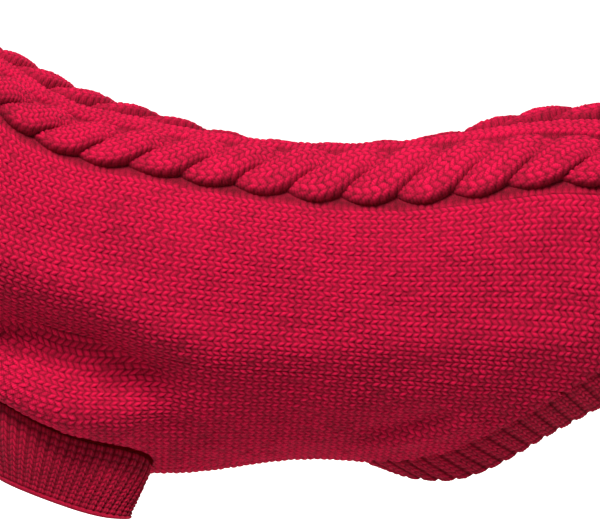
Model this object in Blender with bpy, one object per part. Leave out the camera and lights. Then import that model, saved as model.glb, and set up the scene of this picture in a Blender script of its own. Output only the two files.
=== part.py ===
"""Cable-knit dog sweater, filled out with no wearer.

Metres, +Z up, neck towards -X, tail towards +X, even about the plane Y = 0. The origin is on the
inner face of the back, on its centre line at the low point of the back.
"""

import math

import bmesh
import bpy
import numpy as np
from mathutils import Vector
from mathutils.bvhtree import BVHTree

for old in list(bpy.data.objects):
    bpy.data.objects.remove(old, do_unlink=True)

MM = 0.001

# Cloth walls and gaps.
PANEL_WALL = 2.4 * MM
RIB_WALL = 3.0 * MM
SEAM_GAP = 0.3 * MM

# Raised bands of the back, counted in stitches from the centre line.
RIB_RISE = 1.6 * MM
CABLE_RISE = 3.5 * MM
RISE_FADE = 14 * MM

# Ribbed bands.
COLLAR_HEIGHT = 45 * MM
COLLAR_WAIST = 0.955
HEM_WIDTH = 22 * MM
HEM_FLARE = 0.85
HEM_CORNER_X = 44 * MM
HEM_CORNER_SPREAD = 27 * MM
HEM_CURL = 0.10
CUFF_RIM_LONG = 35 * MM
CUFF_RIM_WIDE = 16.5 * MM

# The left leg opening: a rounded oblong cut through the seam of the panels, square to the cloth,
# and the bulge of cloth above it.
LEG_CENTRE = Vector((-131.5, -45, -140)) * MM
LEG_AXIS = Vector((-0.146, -0.714, -0.684)).normalized()
LEG_FORE = Vector((0.84, 0.28, -0.47))
LEG_LONG = 47 * MM
LEG_WIDE = 20 * MM
LEG_SIDES = 40
LEG_SQUARE = 2.6
BULGE_OUT = 17 * MM
BULGE_LONG = 62 * MM
BULGE_TALL = 34 * MM
BULGE_X = -125 * MM
BULGE_Z = -110 * MM
BULGE_SLOPE = math.radians(-24)
CUFF_RIM_CENTRE = Vector((-133, -45, -167)) * MM
CUFF_RIM_SLOPE = math.radians(-22)
CUFF_RIM_TILT = math.radians(20)
CUFF_REAR_LIFT = 3 * MM

# Sections from neck to tail, in millimetres. Columns: x and z of the top point, x and z of the
# low point, half width, share of the chest outline, share of the barrel outline, width of one
# stitch, half width of the belly panel.
SECTIONS = np.array([
    (-205, 78, -272, 20, 45, 0.00, 0.0, 4.00, 22),
    (-192, 67, -284, -34, 55, 0.35, 0.0, 4.30, 24),
    (-174, 54, -262, -92, 62, 0.75, 0.0, 4.60, 29),
    (-150, 40, -212, -136, 66, 1.00, 0.0, 4.75, 36),
    (-125, 26, -164, -158, 67, 1.00, 0.0, 4.80, 40),
    (-95, 16, -120, -168, 65, 0.80, 0.2, 4.75, 38),
    (-60, 8, -80, -170, 63, 0.40, 0.6, 4.65, 31),
    (0, 2.4, -12, -161, 62, 0.00, 1.0, 4.60, 28),
    (60, 7, 50, -166, 62, 0.00, 1.0, 4.95, 28),
    (110, 16, 104, -162, 60, 0.00, 1.0, 5.50, 28),
    (150, 17, 146, -157, 55, 0.00, 1.0, 5.75, 28),
    (190, 12, 190, -150, 47, 0.00, 1.0, 5.90, 28),
    (226, 2, 236, -136, 38, 0.00, 1.0, 5.90, 28),
], float)

# Half outlines from the top point down to the low point, for a half width and half height of 1.
# Columns: out and rise of the neck, of the chest and of the barrel.
OUTLINES = np.array([
    (0.000, 1.000, 0.000, 1.000, 0.000, 1.000),
    (0.309, 0.951, 0.330, 0.955, 0.340, 0.955),
    (0.588, 0.809, 0.630, 0.810, 0.640, 0.820),
    (0.809, 0.588, 0.850, 0.600, 0.850, 0.610),
    (0.951, 0.309, 0.965, 0.370, 0.960, 0.350),
    (1.000, 0.000, 1.000, 0.180, 1.000, 0.130),
    (0.985, -0.170, 0.980, 0.020, 1.000, -0.060),
    (0.940, -0.342, 0.900, -0.160, 0.975, -0.200),
    (0.810, -0.588, 0.790, -0.400, 0.870, -0.430),
    (0.588, -0.809, 0.620, -0.660, 0.640, -0.730),
    (0.309, -0.951, 0.360, -0.900, 0.340, -0.935),
    (0.000, -1.000, 0.000, -1.000, 0.000, -1.000),
], float)

# The hem seam, in millimetres. Columns: height up the cloth from the belly's centre line, x.
HEM_LINE = np.array([
    (0, 15), (12, 16), (24, 20), (31, 28), (37, 43), (45, 57), (55, 72), (68, 91), (80, 109),
    (93, 130), (110, 150), (132, 166), (160, 178), (190, 186), (225, 190), (245, 191),
], float)

# How far across the back each column of faces lies, in stitches, and how high it stands there
# as a share of the rib or cable.
BAND_COLUMNS = ((0.0, 1.0, 0.0), (1.35, 0.9, 0.0), (1.9, 0.0, 0.0), (2.45, 0.0, 0.35),
                (3.6, 0.0, 0.92), (5.45, 0.0, 1.0), (7.3, 0.0, 0.92), (8.45, 0.0, 0.35),
                (9.1, 0.0, 0.0))
SIDE_COLUMNS = 13
BELLY_COLUMNS = 6
ROWS = 30
LAST = len(SECTIONS) - 1


def smooth_rows(table, at):
    """The table's rows at fractional row numbers, on a smooth curve through them all."""
    at = np.clip(np.atleast_1d(at), 0, len(table) - 1 - 1e-9)
    low = np.floor(at).astype(int)
    part = (at - low)[:, None]
    padded = np.vstack([2 * table[0] - table[1], table, 2 * table[-1] - table[-2]])
    a, b, c, d = padded[low], padded[low + 1], padded[low + 2], padded[low + 3]
    curve = (c - a) + part * ((2 * a - 5 * b + 4 * c - d) + part * (3 * (b - c) + d - a))
    return b + 0.5 * part * curve


def smooth_step(value):
    value = np.clip(value, 0, 1)
    return value * value * (3 - 2 * value)


class Section:
    """One cut across the form, as points at even steps from the top down to the low point."""

    def __init__(self, row):
        (top_x, top_z, low_x, low_z, width, chest, barrel, stitch, belly) = smooth_rows(SECTIONS, row)[0]
        chest, barrel = np.clip(chest, 0, 1), np.clip(barrel, 0, 1)
        outline = (OUTLINES[:, 0:2] * (1 - chest - barrel) + OUTLINES[:, 2:4] * chest
                   + OUTLINES[:, 4:6] * barrel)
        both = np.vstack([outline[::-1] * (-1, 1), outline[1:]])
        half = smooth_rows(both, np.linspace(len(outline) - 1, len(both) - 1, 201))
        top, low = np.array((top_x, 0, top_z)), np.array((low_x, 0, low_z))
        self.points = ((top + low) / 2 + half[:, 1:2] * (top - low) / 2
                       - half[:, 0:1] * (0, width, 0)) * MM
        steps = np.linalg.norm(np.diff(self.points, axis=0), axis=1)
        self.lengths = np.concatenate([[0], np.cumsum(steps)])
        self.half_girth = self.lengths[-1]
        self.stitch = stitch * MM
        self.belly = belly * MM

    def point(self, along):
        """The point that far from the top point, below 0 on the right side."""
        side = -1 if along < 0 else 1
        found = [np.interp(abs(along), self.lengths, self.points[:, k]) for k in range(3)]
        return np.array((found[0], found[1] * side, found[2]))


made_sections = {}


def section(row):
    key = round(float(row), 5)
    if key not in made_sections:
        made_sections[key] = Section(key)
    return made_sections[key]


def with_bulge(point):
    """The point moved outwards where cloth bulges round a leg opening."""
    x, y, z = point
    dx, dz = x - BULGE_X, z - BULGE_Z
    along = dx * math.cos(BULGE_SLOPE) + dz * math.sin(BULGE_SLOPE)
    across = dz * math.cos(BULGE_SLOPE) - dx * math.sin(BULGE_SLOPE)
    share = max(0.0, 1 - (along / BULGE_LONG) ** 2 - (across / BULGE_TALL) ** 2) ** 2
    weight = float(smooth_step((abs(y) - 16 * MM) / (26 * MM)))
    return np.array((x, y + math.copysign(BULGE_OUT * share * weight, y), z))


def on_form(row, along):
    return with_bulge(section(row).point(along))


def normal_at(row, along):
    """The outward direction of the form there."""
    step, turn = 0.02, 1.0 * MM
    back, front = max(row - step, 0), min(row + step, LAST)
    lengthways = on_form(front, along) - on_form(back, along)
    around = on_form(row, along + turn) - on_form(row, along - turn)
    found = np.cross(around, lengthways)
    found /= np.linalg.norm(found)
    middle = (section(row).points[0] + section(row).points[-1]) / 2
    return found if found @ (on_form(row, along) - middle) > 0 else -found


def hem_row(along_at, start=6.0):
    """The row number where a lengthways line meets the hem seam, by halving."""
    low, high = start, float(LAST)
    for _ in range(40):
        row = (low + high) / 2
        along = along_at(row)
        up = section(row).half_girth - abs(along)
        seam_x = np.interp(up / MM, HEM_LINE[:, 0], HEM_LINE[:, 1]) * MM
        if section(row).point(along)[0] < seam_x:
            low = row
        else:
            high = row
    return low


def back_line(column):
    """How far round the form a column of the back panel lies, as a function of the row."""
    side, number = (-1, -column) if column < 0 else (1, column)

    def along(row):
        cut = section(row)
        if number < len(BAND_COLUMNS):
            return side * BAND_COLUMNS[number][0] * cut.stitch
        start = BAND_COLUMNS[-1][0] * cut.stitch
        end = cut.half_girth - cut.belly - SEAM_GAP / 2
        share = (number - len(BAND_COLUMNS) + 1) / SIDE_COLUMNS
        return side * (start + (end - start) * share * (1.4 - 0.4 * share))

    return along


def belly_line(column):
    """The same for a column of the belly panel, counted from its left edge."""
    share = 2 * column / BELLY_COLUMNS - 1

    def along(row):
        cut = section(row)
        up = (cut.belly - SEAM_GAP / 2) * abs(share)
        return (cut.half_girth - up) * (1 if share <= 0 else -1)

    return along


def grid(lines, rises):
    """Outer and inner points of a panel whose columns follow lines from the neck to the hem."""
    outer, inner, ends = [], [], []
    for along_at, (rib, cable) in zip(lines, rises):
        last = hem_row(along_at)
        ends.append((last, along_at(last)))
        outer.append([])
        inner.append([])
        for step in range(ROWS + 1):
            row = last * step / ROWS
            along = along_at(row)
            place, out = on_form(row, along), normal_at(row, along)
            rise = (rib * RIB_RISE + cable * CABLE_RISE)
            if rise:
                end = on_form(last, along_at(last))
                start = on_form(0, along_at(0))
                near = min(np.linalg.norm(place - end), np.linalg.norm(place - start))
                rise *= float(smooth_step(near / RISE_FADE))
            outer[-1].append(place + out * rise)
            inner[-1].append(place - out * PANEL_WALL)
    return np.array(outer), np.array(inner), ends


def shell(name, outer, inner, ring, collection, material):
    """A closed wall between two grids of points, closed in a ring along the first axis or not."""
    columns, rows = outer.shape[:2]
    mesh = bmesh.new()
    sides = [[[mesh.verts.new(p) for p in line] for line in face] for face in (outer, inner)]
    last = columns if ring else columns - 1

    def quad(*corners):
        mesh.faces.new(corners)

    for i in range(last):
        j = (i + 1) % columns
        for k in range(rows - 1):
            quad(sides[0][i][k], sides[0][i][k + 1], sides[0][j][k + 1], sides[0][j][k])
            quad(sides[1][i][k], sides[1][j][k], sides[1][j][k + 1], sides[1][i][k + 1])
        quad(sides[0][i][0], sides[0][j][0], sides[1][j][0], sides[1][i][0])
        quad(sides[0][j][-1], sides[0][i][-1], sides[1][i][-1], sides[1][j][-1])
    if not ring:
        for k in range(rows - 1):
            quad(sides[0][0][k + 1], sides[0][0][k], sides[1][0][k], sides[1][0][k + 1])
            quad(sides[0][-1][k], sides[0][-1][k + 1], sides[1][-1][k + 1], sides[1][-1][k])
    bmesh.ops.triangulate(mesh, faces=mesh.faces[:])
    bmesh.ops.recalc_face_normals(mesh, faces=mesh.faces[:])
    if mesh.calc_volume(signed=True) < 0:
        bmesh.ops.reverse_faces(mesh, faces=mesh.faces[:])
    for face in mesh.faces:
        face.smooth = True
    data = bpy.data.meshes.new(name)
    mesh.to_mesh(data)
    mesh.free()
    made = bpy.data.objects.new(name, data)
    data.materials.append(material)
    collection.objects.link(made)
    return made


def knit(name, colour, roughness):
    """A plain knitted finish."""
    material = bpy.data.materials.new(name)
    material.use_nodes = True
    surface = material.node_tree.nodes["Principled BSDF"]
    surface.inputs["Base Color"].default_value = (*colour, 1)
    surface.inputs["Roughness"].default_value = roughness
    surface.inputs["Metallic"].default_value = 0.0
    return material


def leg_frame(side):
    """The leg opening's centre, outward axis, fore-aft and sideways directions on one side."""
    flip = Vector((1, side, 1))
    centre, axis, fore = LEG_CENTRE * flip, LEG_AXIS * flip, LEG_FORE * flip
    fore = (fore - axis * fore.dot(axis)).normalized()
    up = axis.cross(fore).normalized()
    return centre, axis, fore, up if up.z > 0 else -up


def oblong(angle):
    """The point at that angle on a rounded oblong of half sides 1."""
    c, s = math.cos(angle), math.sin(angle)
    size = (abs(c) ** LEG_SQUARE + abs(s) ** LEG_SQUARE) ** (-1 / LEG_SQUARE)
    return c * size, s * size


def leg_cutter(side, collection):
    """The rounded oblong block that opens the panels for one leg."""
    centre, axis, fore, up = leg_frame(side)
    bpy.ops.mesh.primitive_cylinder_add(vertices=LEG_SIDES, radius=1, depth=1)
    made = bpy.context.object
    made.name = "leg_cutter_left" if side > 0 else "leg_cutter_right"
    for vertex in made.data.vertices:
        a, b = oblong(math.atan2(vertex.co.y, vertex.co.x))
        place = fore * a * LEG_LONG + up * b * LEG_WIDE + axis * vertex.co.z * 0.06
        vertex.co = centre + place
    if fore.cross(up).dot(axis) < 0:
        made.data.flip_normals()
    for owner in list(made.users_collection):
        owner.objects.unlink(made)
    collection.objects.link(made)
    made.hide_render = True
    made.display_type = "WIRE"
    return made


def cut(target, cutter):
    hole = target.modifiers.new(cutter.name, "BOOLEAN")
    hole.operation = "DIFFERENCE"
    hole.solver = "EXACT"
    hole.object = cutter


def cuff(name, side, walls, collection, material):
    """A ribbed tube from inside the edge of a leg opening to its own hanging rim."""
    centre, axis, fore, up = leg_frame(side)
    rim_centre = CUFF_RIM_CENTRE * Vector((1, side, 1))
    rim_fore = Vector((math.cos(CUFF_RIM_SLOPE), 0, math.sin(CUFF_RIM_SLOPE)))
    rim_up = Vector((0, -side * math.cos(CUFF_RIM_TILT), math.sin(CUFF_RIM_TILT)))
    outer, inner = [], []
    for k in range(LEG_SIDES):
        angle = 2 * math.pi * k / LEG_SIDES
        c, s = math.cos(angle), math.sin(angle)
        a, b = oblong(angle)
        spoke = fore * a * (LEG_LONG - SEAM_GAP) + up * b * (LEG_WIDE - SEAM_GAP)
        start = centre + spoke - axis * 0.03
        found = []
        for tree in walls:
            place, _, _, distance = tree.ray_cast(start, axis, 0.06)
            if place is not None:
                found.append(distance)
        seam = start + axis * min(found)
        past = seam + axis * (PANEL_WALL + 1.6 * MM)
        lift = Vector((0, 0, CUFF_REAR_LIFT * max(c, 0) ** 3))
        rim = rim_centre + rim_fore * c * CUFF_RIM_LONG + rim_up * s * CUFF_RIM_WIDE + lift
        across = (fore * c / LEG_LONG + up * s / LEG_WIDE).normalized()
        rim_across = (rim_fore * c / CUFF_RIM_LONG + rim_up * s / CUFF_RIM_WIDE).normalized()
        down = (past - rim).length
        line, lining = [seam, past], [seam - across * RIB_WALL, past - across * RIB_WALL]
        for share in (0.25, 0.6, 1.0):
            bend = (1 - share) ** 2 * share * 1.2
            place = past.lerp(rim, share) + axis * (down * bend * 0.5)
            line.append(place)
            lining.append(place - across.lerp(rim_across, share).normalized() * RIB_WALL)
        outer.append(line)
        inner.append(lining)
    return shell(name, np.array(outer), np.array(inner), True, collection, material)


def ring_of(line_sets, at_hem):
    """Points, outward and lengthways directions round the neck or hem ends of both panels."""
    places, outs, ways = [], [], []
    for lines in line_sets:
        for along_at in lines:
            row = hem_row(along_at) if at_hem else 0.0
            along = along_at(row)
            places.append(on_form(row, along))
            outs.append(normal_at(row, along))
            near = max(row - 0.15, 0) if at_hem else 0.15
            way = places[-1] - on_form(near, along_at(near))
            ways.append(way / np.linalg.norm(way))
    return np.array(places), np.array(outs), np.array(ways)


def unit(vectors):
    return vectors / np.linalg.norm(vectors, axis=1)[:, None]


def eased(vectors, times):
    for _ in range(times):
        vectors = (np.roll(vectors, 1, 0) + 2 * vectors + np.roll(vectors, -1, 0)) / 4
    return vectors


def collar(line_sets, collection, material):
    places, outs, _ = ring_of(line_sets, False)
    top, low = section(0).points[0], section(0).points[-1]
    rise = np.cross((0, 1, 0), top - low)
    rise /= np.linalg.norm(rise)
    rise = rise if rise[2] > 0 else -rise
    flat_out = unit(outs - np.outer(outs @ rise, rise))
    middle = (top + low) / 2
    outer, inner = [], []
    for share, waist in ((0.0, 1.0), (0.25, COLLAR_WAIST), (0.65, COLLAR_WAIST), (1.0, 0.99)):
        up = rise * (SEAM_GAP + COLLAR_HEIGHT * share)
        if share == 0:
            outer.append(places + up)
            inner.append(places - outs * PANEL_WALL + up)
            continue
        ring = middle + (places - middle) * waist + up
        outer.append(ring)
        inner.append(ring - flat_out * RIB_WALL)
    return shell("collar", np.array(outer).transpose(1, 0, 2), np.array(inner).transpose(1, 0, 2),
                 True, collection, material)


def hem_band(line_sets, collection, material):
    places, outs, ways = ring_of(line_sets, True)
    round_it = unit(np.roll(places, -1, 0) - np.roll(places, 1, 0))
    away = unit(np.cross(outs, round_it))
    away *= np.sign((away * ways).sum(1))[:, None]
    corner = np.exp(-((places[:, 0] - HEM_CORNER_X) / HEM_CORNER_SPREAD) ** 2)[:, None]
    away = unit(eased(unit(away + corner * (1.3 * ways + HEM_FLARE * outs)), 2))
    outer, inner = [], []
    for share in (0.0, 0.4, 0.75, 1.0):
        reach = HEM_WIDTH * share + 1.4 * SEAM_GAP
        curl = outs * (HEM_WIDTH * HEM_CURL * share * share * (1 - corner))
        ring = places + away * reach - curl
        outer.append(ring)
        inner.append(ring - outs * (PANEL_WALL if share == 0 else RIB_WALL))
    return shell("hem_band", np.array(outer).transpose(1, 0, 2), np.array(inner).transpose(1, 0, 2),
                 True, collection, material)


def wall_tree(made):
    data = made.data
    return BVHTree.FromPolygons([v.co for v in data.vertices], [p.vertices for p in data.polygons])


def main():
    sweater = bpy.data.collections.new("dog_sweater")
    cutters = bpy.data.collections.new("cutters")
    bpy.context.scene.collection.children.link(sweater)
    bpy.context.scene.collection.children.link(cutters)
    cutters.hide_render = True

    body_knit = knit("crimson_knit", (0.62, 0.010, 0.055), 0.9)
    belly_knit = knit("crimson_plain_knit", (0.60, 0.010, 0.053), 0.9)
    rib_knit = knit("crimson_rib", (0.56, 0.009, 0.050), 0.92)

    most = len(BAND_COLUMNS) - 1 + SIDE_COLUMNS
    back_lines = [back_line(column) for column in range(-most, most + 1)]
    rises = [BAND_COLUMNS[min(abs(column), len(BAND_COLUMNS) - 1)][1:]
             for column in range(-most, most + 1)]
    belly_lines = [belly_line(column) for column in range(BELLY_COLUMNS + 1)]
    outer, inner, _ = grid(back_lines, rises)
    back = shell("back_panel", outer, inner, False, sweater, body_knit)
    outer, inner, _ = grid(belly_lines, [(0.0, 0.0)] * len(belly_lines))
    belly = shell("belly_panel", outer, inner, False, sweater, belly_knit)

    walls = [wall_tree(back), wall_tree(belly)]
    cuff("cuff_left", 1, walls, sweater, rib_knit)
    cuff("cuff_right", -1, walls, sweater, rib_knit)
    for side in (1, -1):
        cutter = leg_cutter(side, cutters)
        cut(back, cutter)
        cut(belly, cutter)
    # Both ends go round once: the back from its right edge to its left, then the belly.
    collar((back_lines, belly_lines), sweater, rib_knit)
    hem_band((back_lines, belly_lines), sweater, rib_knit)


main()
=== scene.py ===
"""The looks of a cable-knit dog sweater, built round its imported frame.

Every cloth piece is a closed thin shell on the form of its solid. Its outer face carries the
stitches as real relief: V stitches on the plain sides, ribs with purl valleys on the bands, and
two rope cables of twisted strands on the back. Sizes are in millimetres and turned into metres
when a mesh is made.
"""

import logging
import math
from dataclasses import dataclass, field
from enum import Enum
from typing import Any, Callable, Sequence

import bpy
import numpy as np
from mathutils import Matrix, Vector
from mathutils.bvhtree import BVHTree


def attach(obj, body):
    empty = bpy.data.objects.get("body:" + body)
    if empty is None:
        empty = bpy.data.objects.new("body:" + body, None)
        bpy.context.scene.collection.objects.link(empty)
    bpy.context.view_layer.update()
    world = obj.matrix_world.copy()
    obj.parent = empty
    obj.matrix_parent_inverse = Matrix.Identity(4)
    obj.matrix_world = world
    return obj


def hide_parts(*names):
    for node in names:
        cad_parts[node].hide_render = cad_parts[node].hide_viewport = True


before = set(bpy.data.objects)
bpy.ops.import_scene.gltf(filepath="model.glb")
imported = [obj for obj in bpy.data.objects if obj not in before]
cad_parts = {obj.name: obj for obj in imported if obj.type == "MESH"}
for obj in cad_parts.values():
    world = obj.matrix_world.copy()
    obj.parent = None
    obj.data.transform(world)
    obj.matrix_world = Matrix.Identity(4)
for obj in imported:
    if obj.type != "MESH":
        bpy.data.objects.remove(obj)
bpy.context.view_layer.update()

LOG = logging.getLogger("sweater")
MM = 0.001
BODY = "root"
# How light the painted shade leaves the yarn on the inner face, on its scale from 0 in the gaps to
# 1.
INNER_SHADING = 0.75
# One in this many cells is looked at to tell which way a piece's faces point.
SAMPLE = 97


# ---- Small maths helpers ----


def smooth_rows(table: np.ndarray, at: np.ndarray) -> np.ndarray:
    """Read a table's rows at fractional row numbers, on a smooth curve through them all.

    Args:
        table: One row for each step, one column for each value.
        at: Fractional row numbers.

    Returns:
        One row of values for each number in at.
    """
    at = np.clip(np.atleast_1d(at), 0, len(table) - 1 - 1e-9)
    low = np.floor(at).astype(int)
    part = (at - low).reshape((-1,) + (1,) * (table.ndim - 1))
    padded = np.concatenate([2 * table[:1] - table[1:2], table, 2 * table[-1:] - table[-2:-1]])
    a, b, c, d = padded[low], padded[low + 1], padded[low + 2], padded[low + 3]
    curve = (c - a) + part * ((2 * a - 5 * b + 4 * c - d) + part * (3 * (b - c) + d - a))
    return b + 0.5 * part * curve


def smooth_step(value: np.ndarray) -> np.ndarray:
    """Ease a value from 0 to 1, flat at both ends."""
    value = np.clip(value, 0, 1)
    return value * value * (3 - 2 * value)


def bump(share: np.ndarray) -> np.ndarray:
    """Rise from 0 to 1 and back like half a circle, as a share runs from 0 to 1."""
    return np.sqrt(np.clip(1 - (2 * share - 1) ** 2, 0, 1))


def unit(vectors: np.ndarray) -> np.ndarray:
    """Scale each vector, along the last axis, to length 1."""
    return vectors / np.maximum(np.linalg.norm(vectors, axis=-1, keepdims=True), 1e-12)


def lengths_along(line: np.ndarray) -> np.ndarray:
    """Give the length from the start of a line of points to each of them."""
    return np.concatenate([[0], np.cumsum(np.linalg.norm(np.diff(line, axis=0), axis=1))])


def eased_ring(values: np.ndarray, spread: float) -> np.ndarray:
    """Smooth values round a closed ring.

    Args:
        values: One row for each place round the ring.
        spread: Spread of the smoothing, in places.

    Returns:
        The smoothed rows.
    """
    reach = int(3 * spread) + 1
    weights = np.exp(-0.5 * (np.arange(-reach, reach + 1) / spread) ** 2)
    weights /= weights.sum()
    padded = np.concatenate([values[-reach:], values, values[:reach]])
    return np.stack([np.convolve(column, weights, "valid") for column in padded.T], axis=1)


def ring_reader(places: np.ndarray, values: np.ndarray) -> Callable[[np.ndarray], np.ndarray]:
    """Make a function that reads values round a closed ring at equal steps of length.

    Args:
        places: The ring's places in order, which set the length.
        values: The rows to read, one for each place.

    Returns:
        A function from shares of the way round, 0 to 1, to rows.
    """
    rows = np.concatenate([values, values[:1]])
    lengths = lengths_along(np.concatenate([places, places[:1]]))
    share = lengths / lengths[-1]

    def read(at: np.ndarray) -> np.ndarray:
        """Read the ring at those shares of the way round."""
        return np.stack([np.interp(np.mod(at, 1.0), share, column) for column in rows.T], axis=-1)

    return read


# ---- The form of the filled-out garment ----


@dataclass(frozen=True)
class Crease:
    """One soft trough or ridge of the cloth, along a line seen from the side.

    Attributes:
        line: x and z of the places it runs through.
        width: How wide it spreads.
        rise: How far it stands out, below 0 for a trough.
        side: -1 for the left side, 1 for the right side.
        fade: Share of its length over which each end dies away.
        start: How far from the middle plane it has its full height.
    """

    line: tuple[tuple[float, float], ...]
    width: float
    rise: float
    side: int
    fade: float = 0.25
    start: float = 12.0

    def rise_at(self, points: np.ndarray) -> np.ndarray:
        """Give the crease's height at each point."""
        flat = points[..., [0, 2]]
        line = np.array(self.line, float)
        steps = np.diff(line, axis=0)
        sizes, before = np.linalg.norm(steps, axis=1), lengths_along(line)
        best, along = np.full(flat.shape[:-1], 1e9), np.zeros(flat.shape[:-1])
        for start, step, size, done in zip(line, steps, sizes, before):
            share = np.clip((flat - start) @ step / size ** 2, 0, 1)
            away = np.linalg.norm(flat - start - share[..., None] * step, axis=-1)
            closer = away < best
            best = np.where(closer, away, best)
            along = np.where(closer, (done + share * size) / before[-1], along)
        ends = smooth_step(along / self.fade) * smooth_step((1 - along) / self.fade)
        on_side = smooth_step(points[..., 1] * self.side / self.start)
        return self.rise * np.exp(-(best / self.width) ** 2) * ends * on_side


@dataclass(frozen=True)
class LegOpening:
    """The rounded oblong through which one front leg passes.

    Attributes:
        side: -1 for the left leg, 1 for the right leg.
        centre: Its centre on the left side.
        axis: The outward direction square to it, on the left side.
        fore: The fore-and-aft direction along it, on the left side.
        long: Half its length.
        wide: Half its width.
        square: How square the oblong is; 2 is an ellipse.
        reach: How deep below its centre the opening still cuts.
    """

    side: int
    centre: tuple[float, float, float] = (-131.5, -45, -140)
    axis: tuple[float, float, float] = (-0.146, -0.714, -0.684)
    fore: tuple[float, float, float] = (0.84, 0.28, -0.47)
    long: float = 47
    wide: float = 20
    square: float = 2.6
    # reach: How far below its centre the opening still cuts.
    reach: float = 35

    def directions(self) -> tuple[np.ndarray, np.ndarray, np.ndarray, np.ndarray]:
        """Give the centre, the outward axis, and the long and the wide direction."""
        flip = np.array((1, -self.side, 1))
        axis = unit(np.array(self.axis) * flip)
        fore = np.array(self.fore) * flip
        fore = unit(fore - axis * (fore @ axis))
        up = np.cross(axis, fore)
        return np.array(self.centre) * flip, axis, fore, up if up[2] > 0 else -up

    def outline(self, angle: np.ndarray) -> tuple[np.ndarray, np.ndarray]:
        """Give the oblong's two coordinates at an angle, for half sides of 1."""
        c, s = np.cos(angle), np.sin(angle)
        size = (np.abs(c) ** self.square + np.abs(s) ** self.square) ** (-1 / self.square)
        return c * size, s * size

    def clearance(self, points: np.ndarray) -> np.ndarray:
        """Give how far outside the opening each point lies, below 0 inside it."""
        centre, axis, fore, up = self.directions()
        from_centre = points - centre
        a, b = np.abs(from_centre @ fore) / self.long, np.abs(from_centre @ up) / self.wide
        away = ((a ** self.square + b ** self.square) ** (1 / self.square) - 1) * self.wide
        return np.where(from_centre @ axis > -self.reach, away, 1e3)


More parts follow.
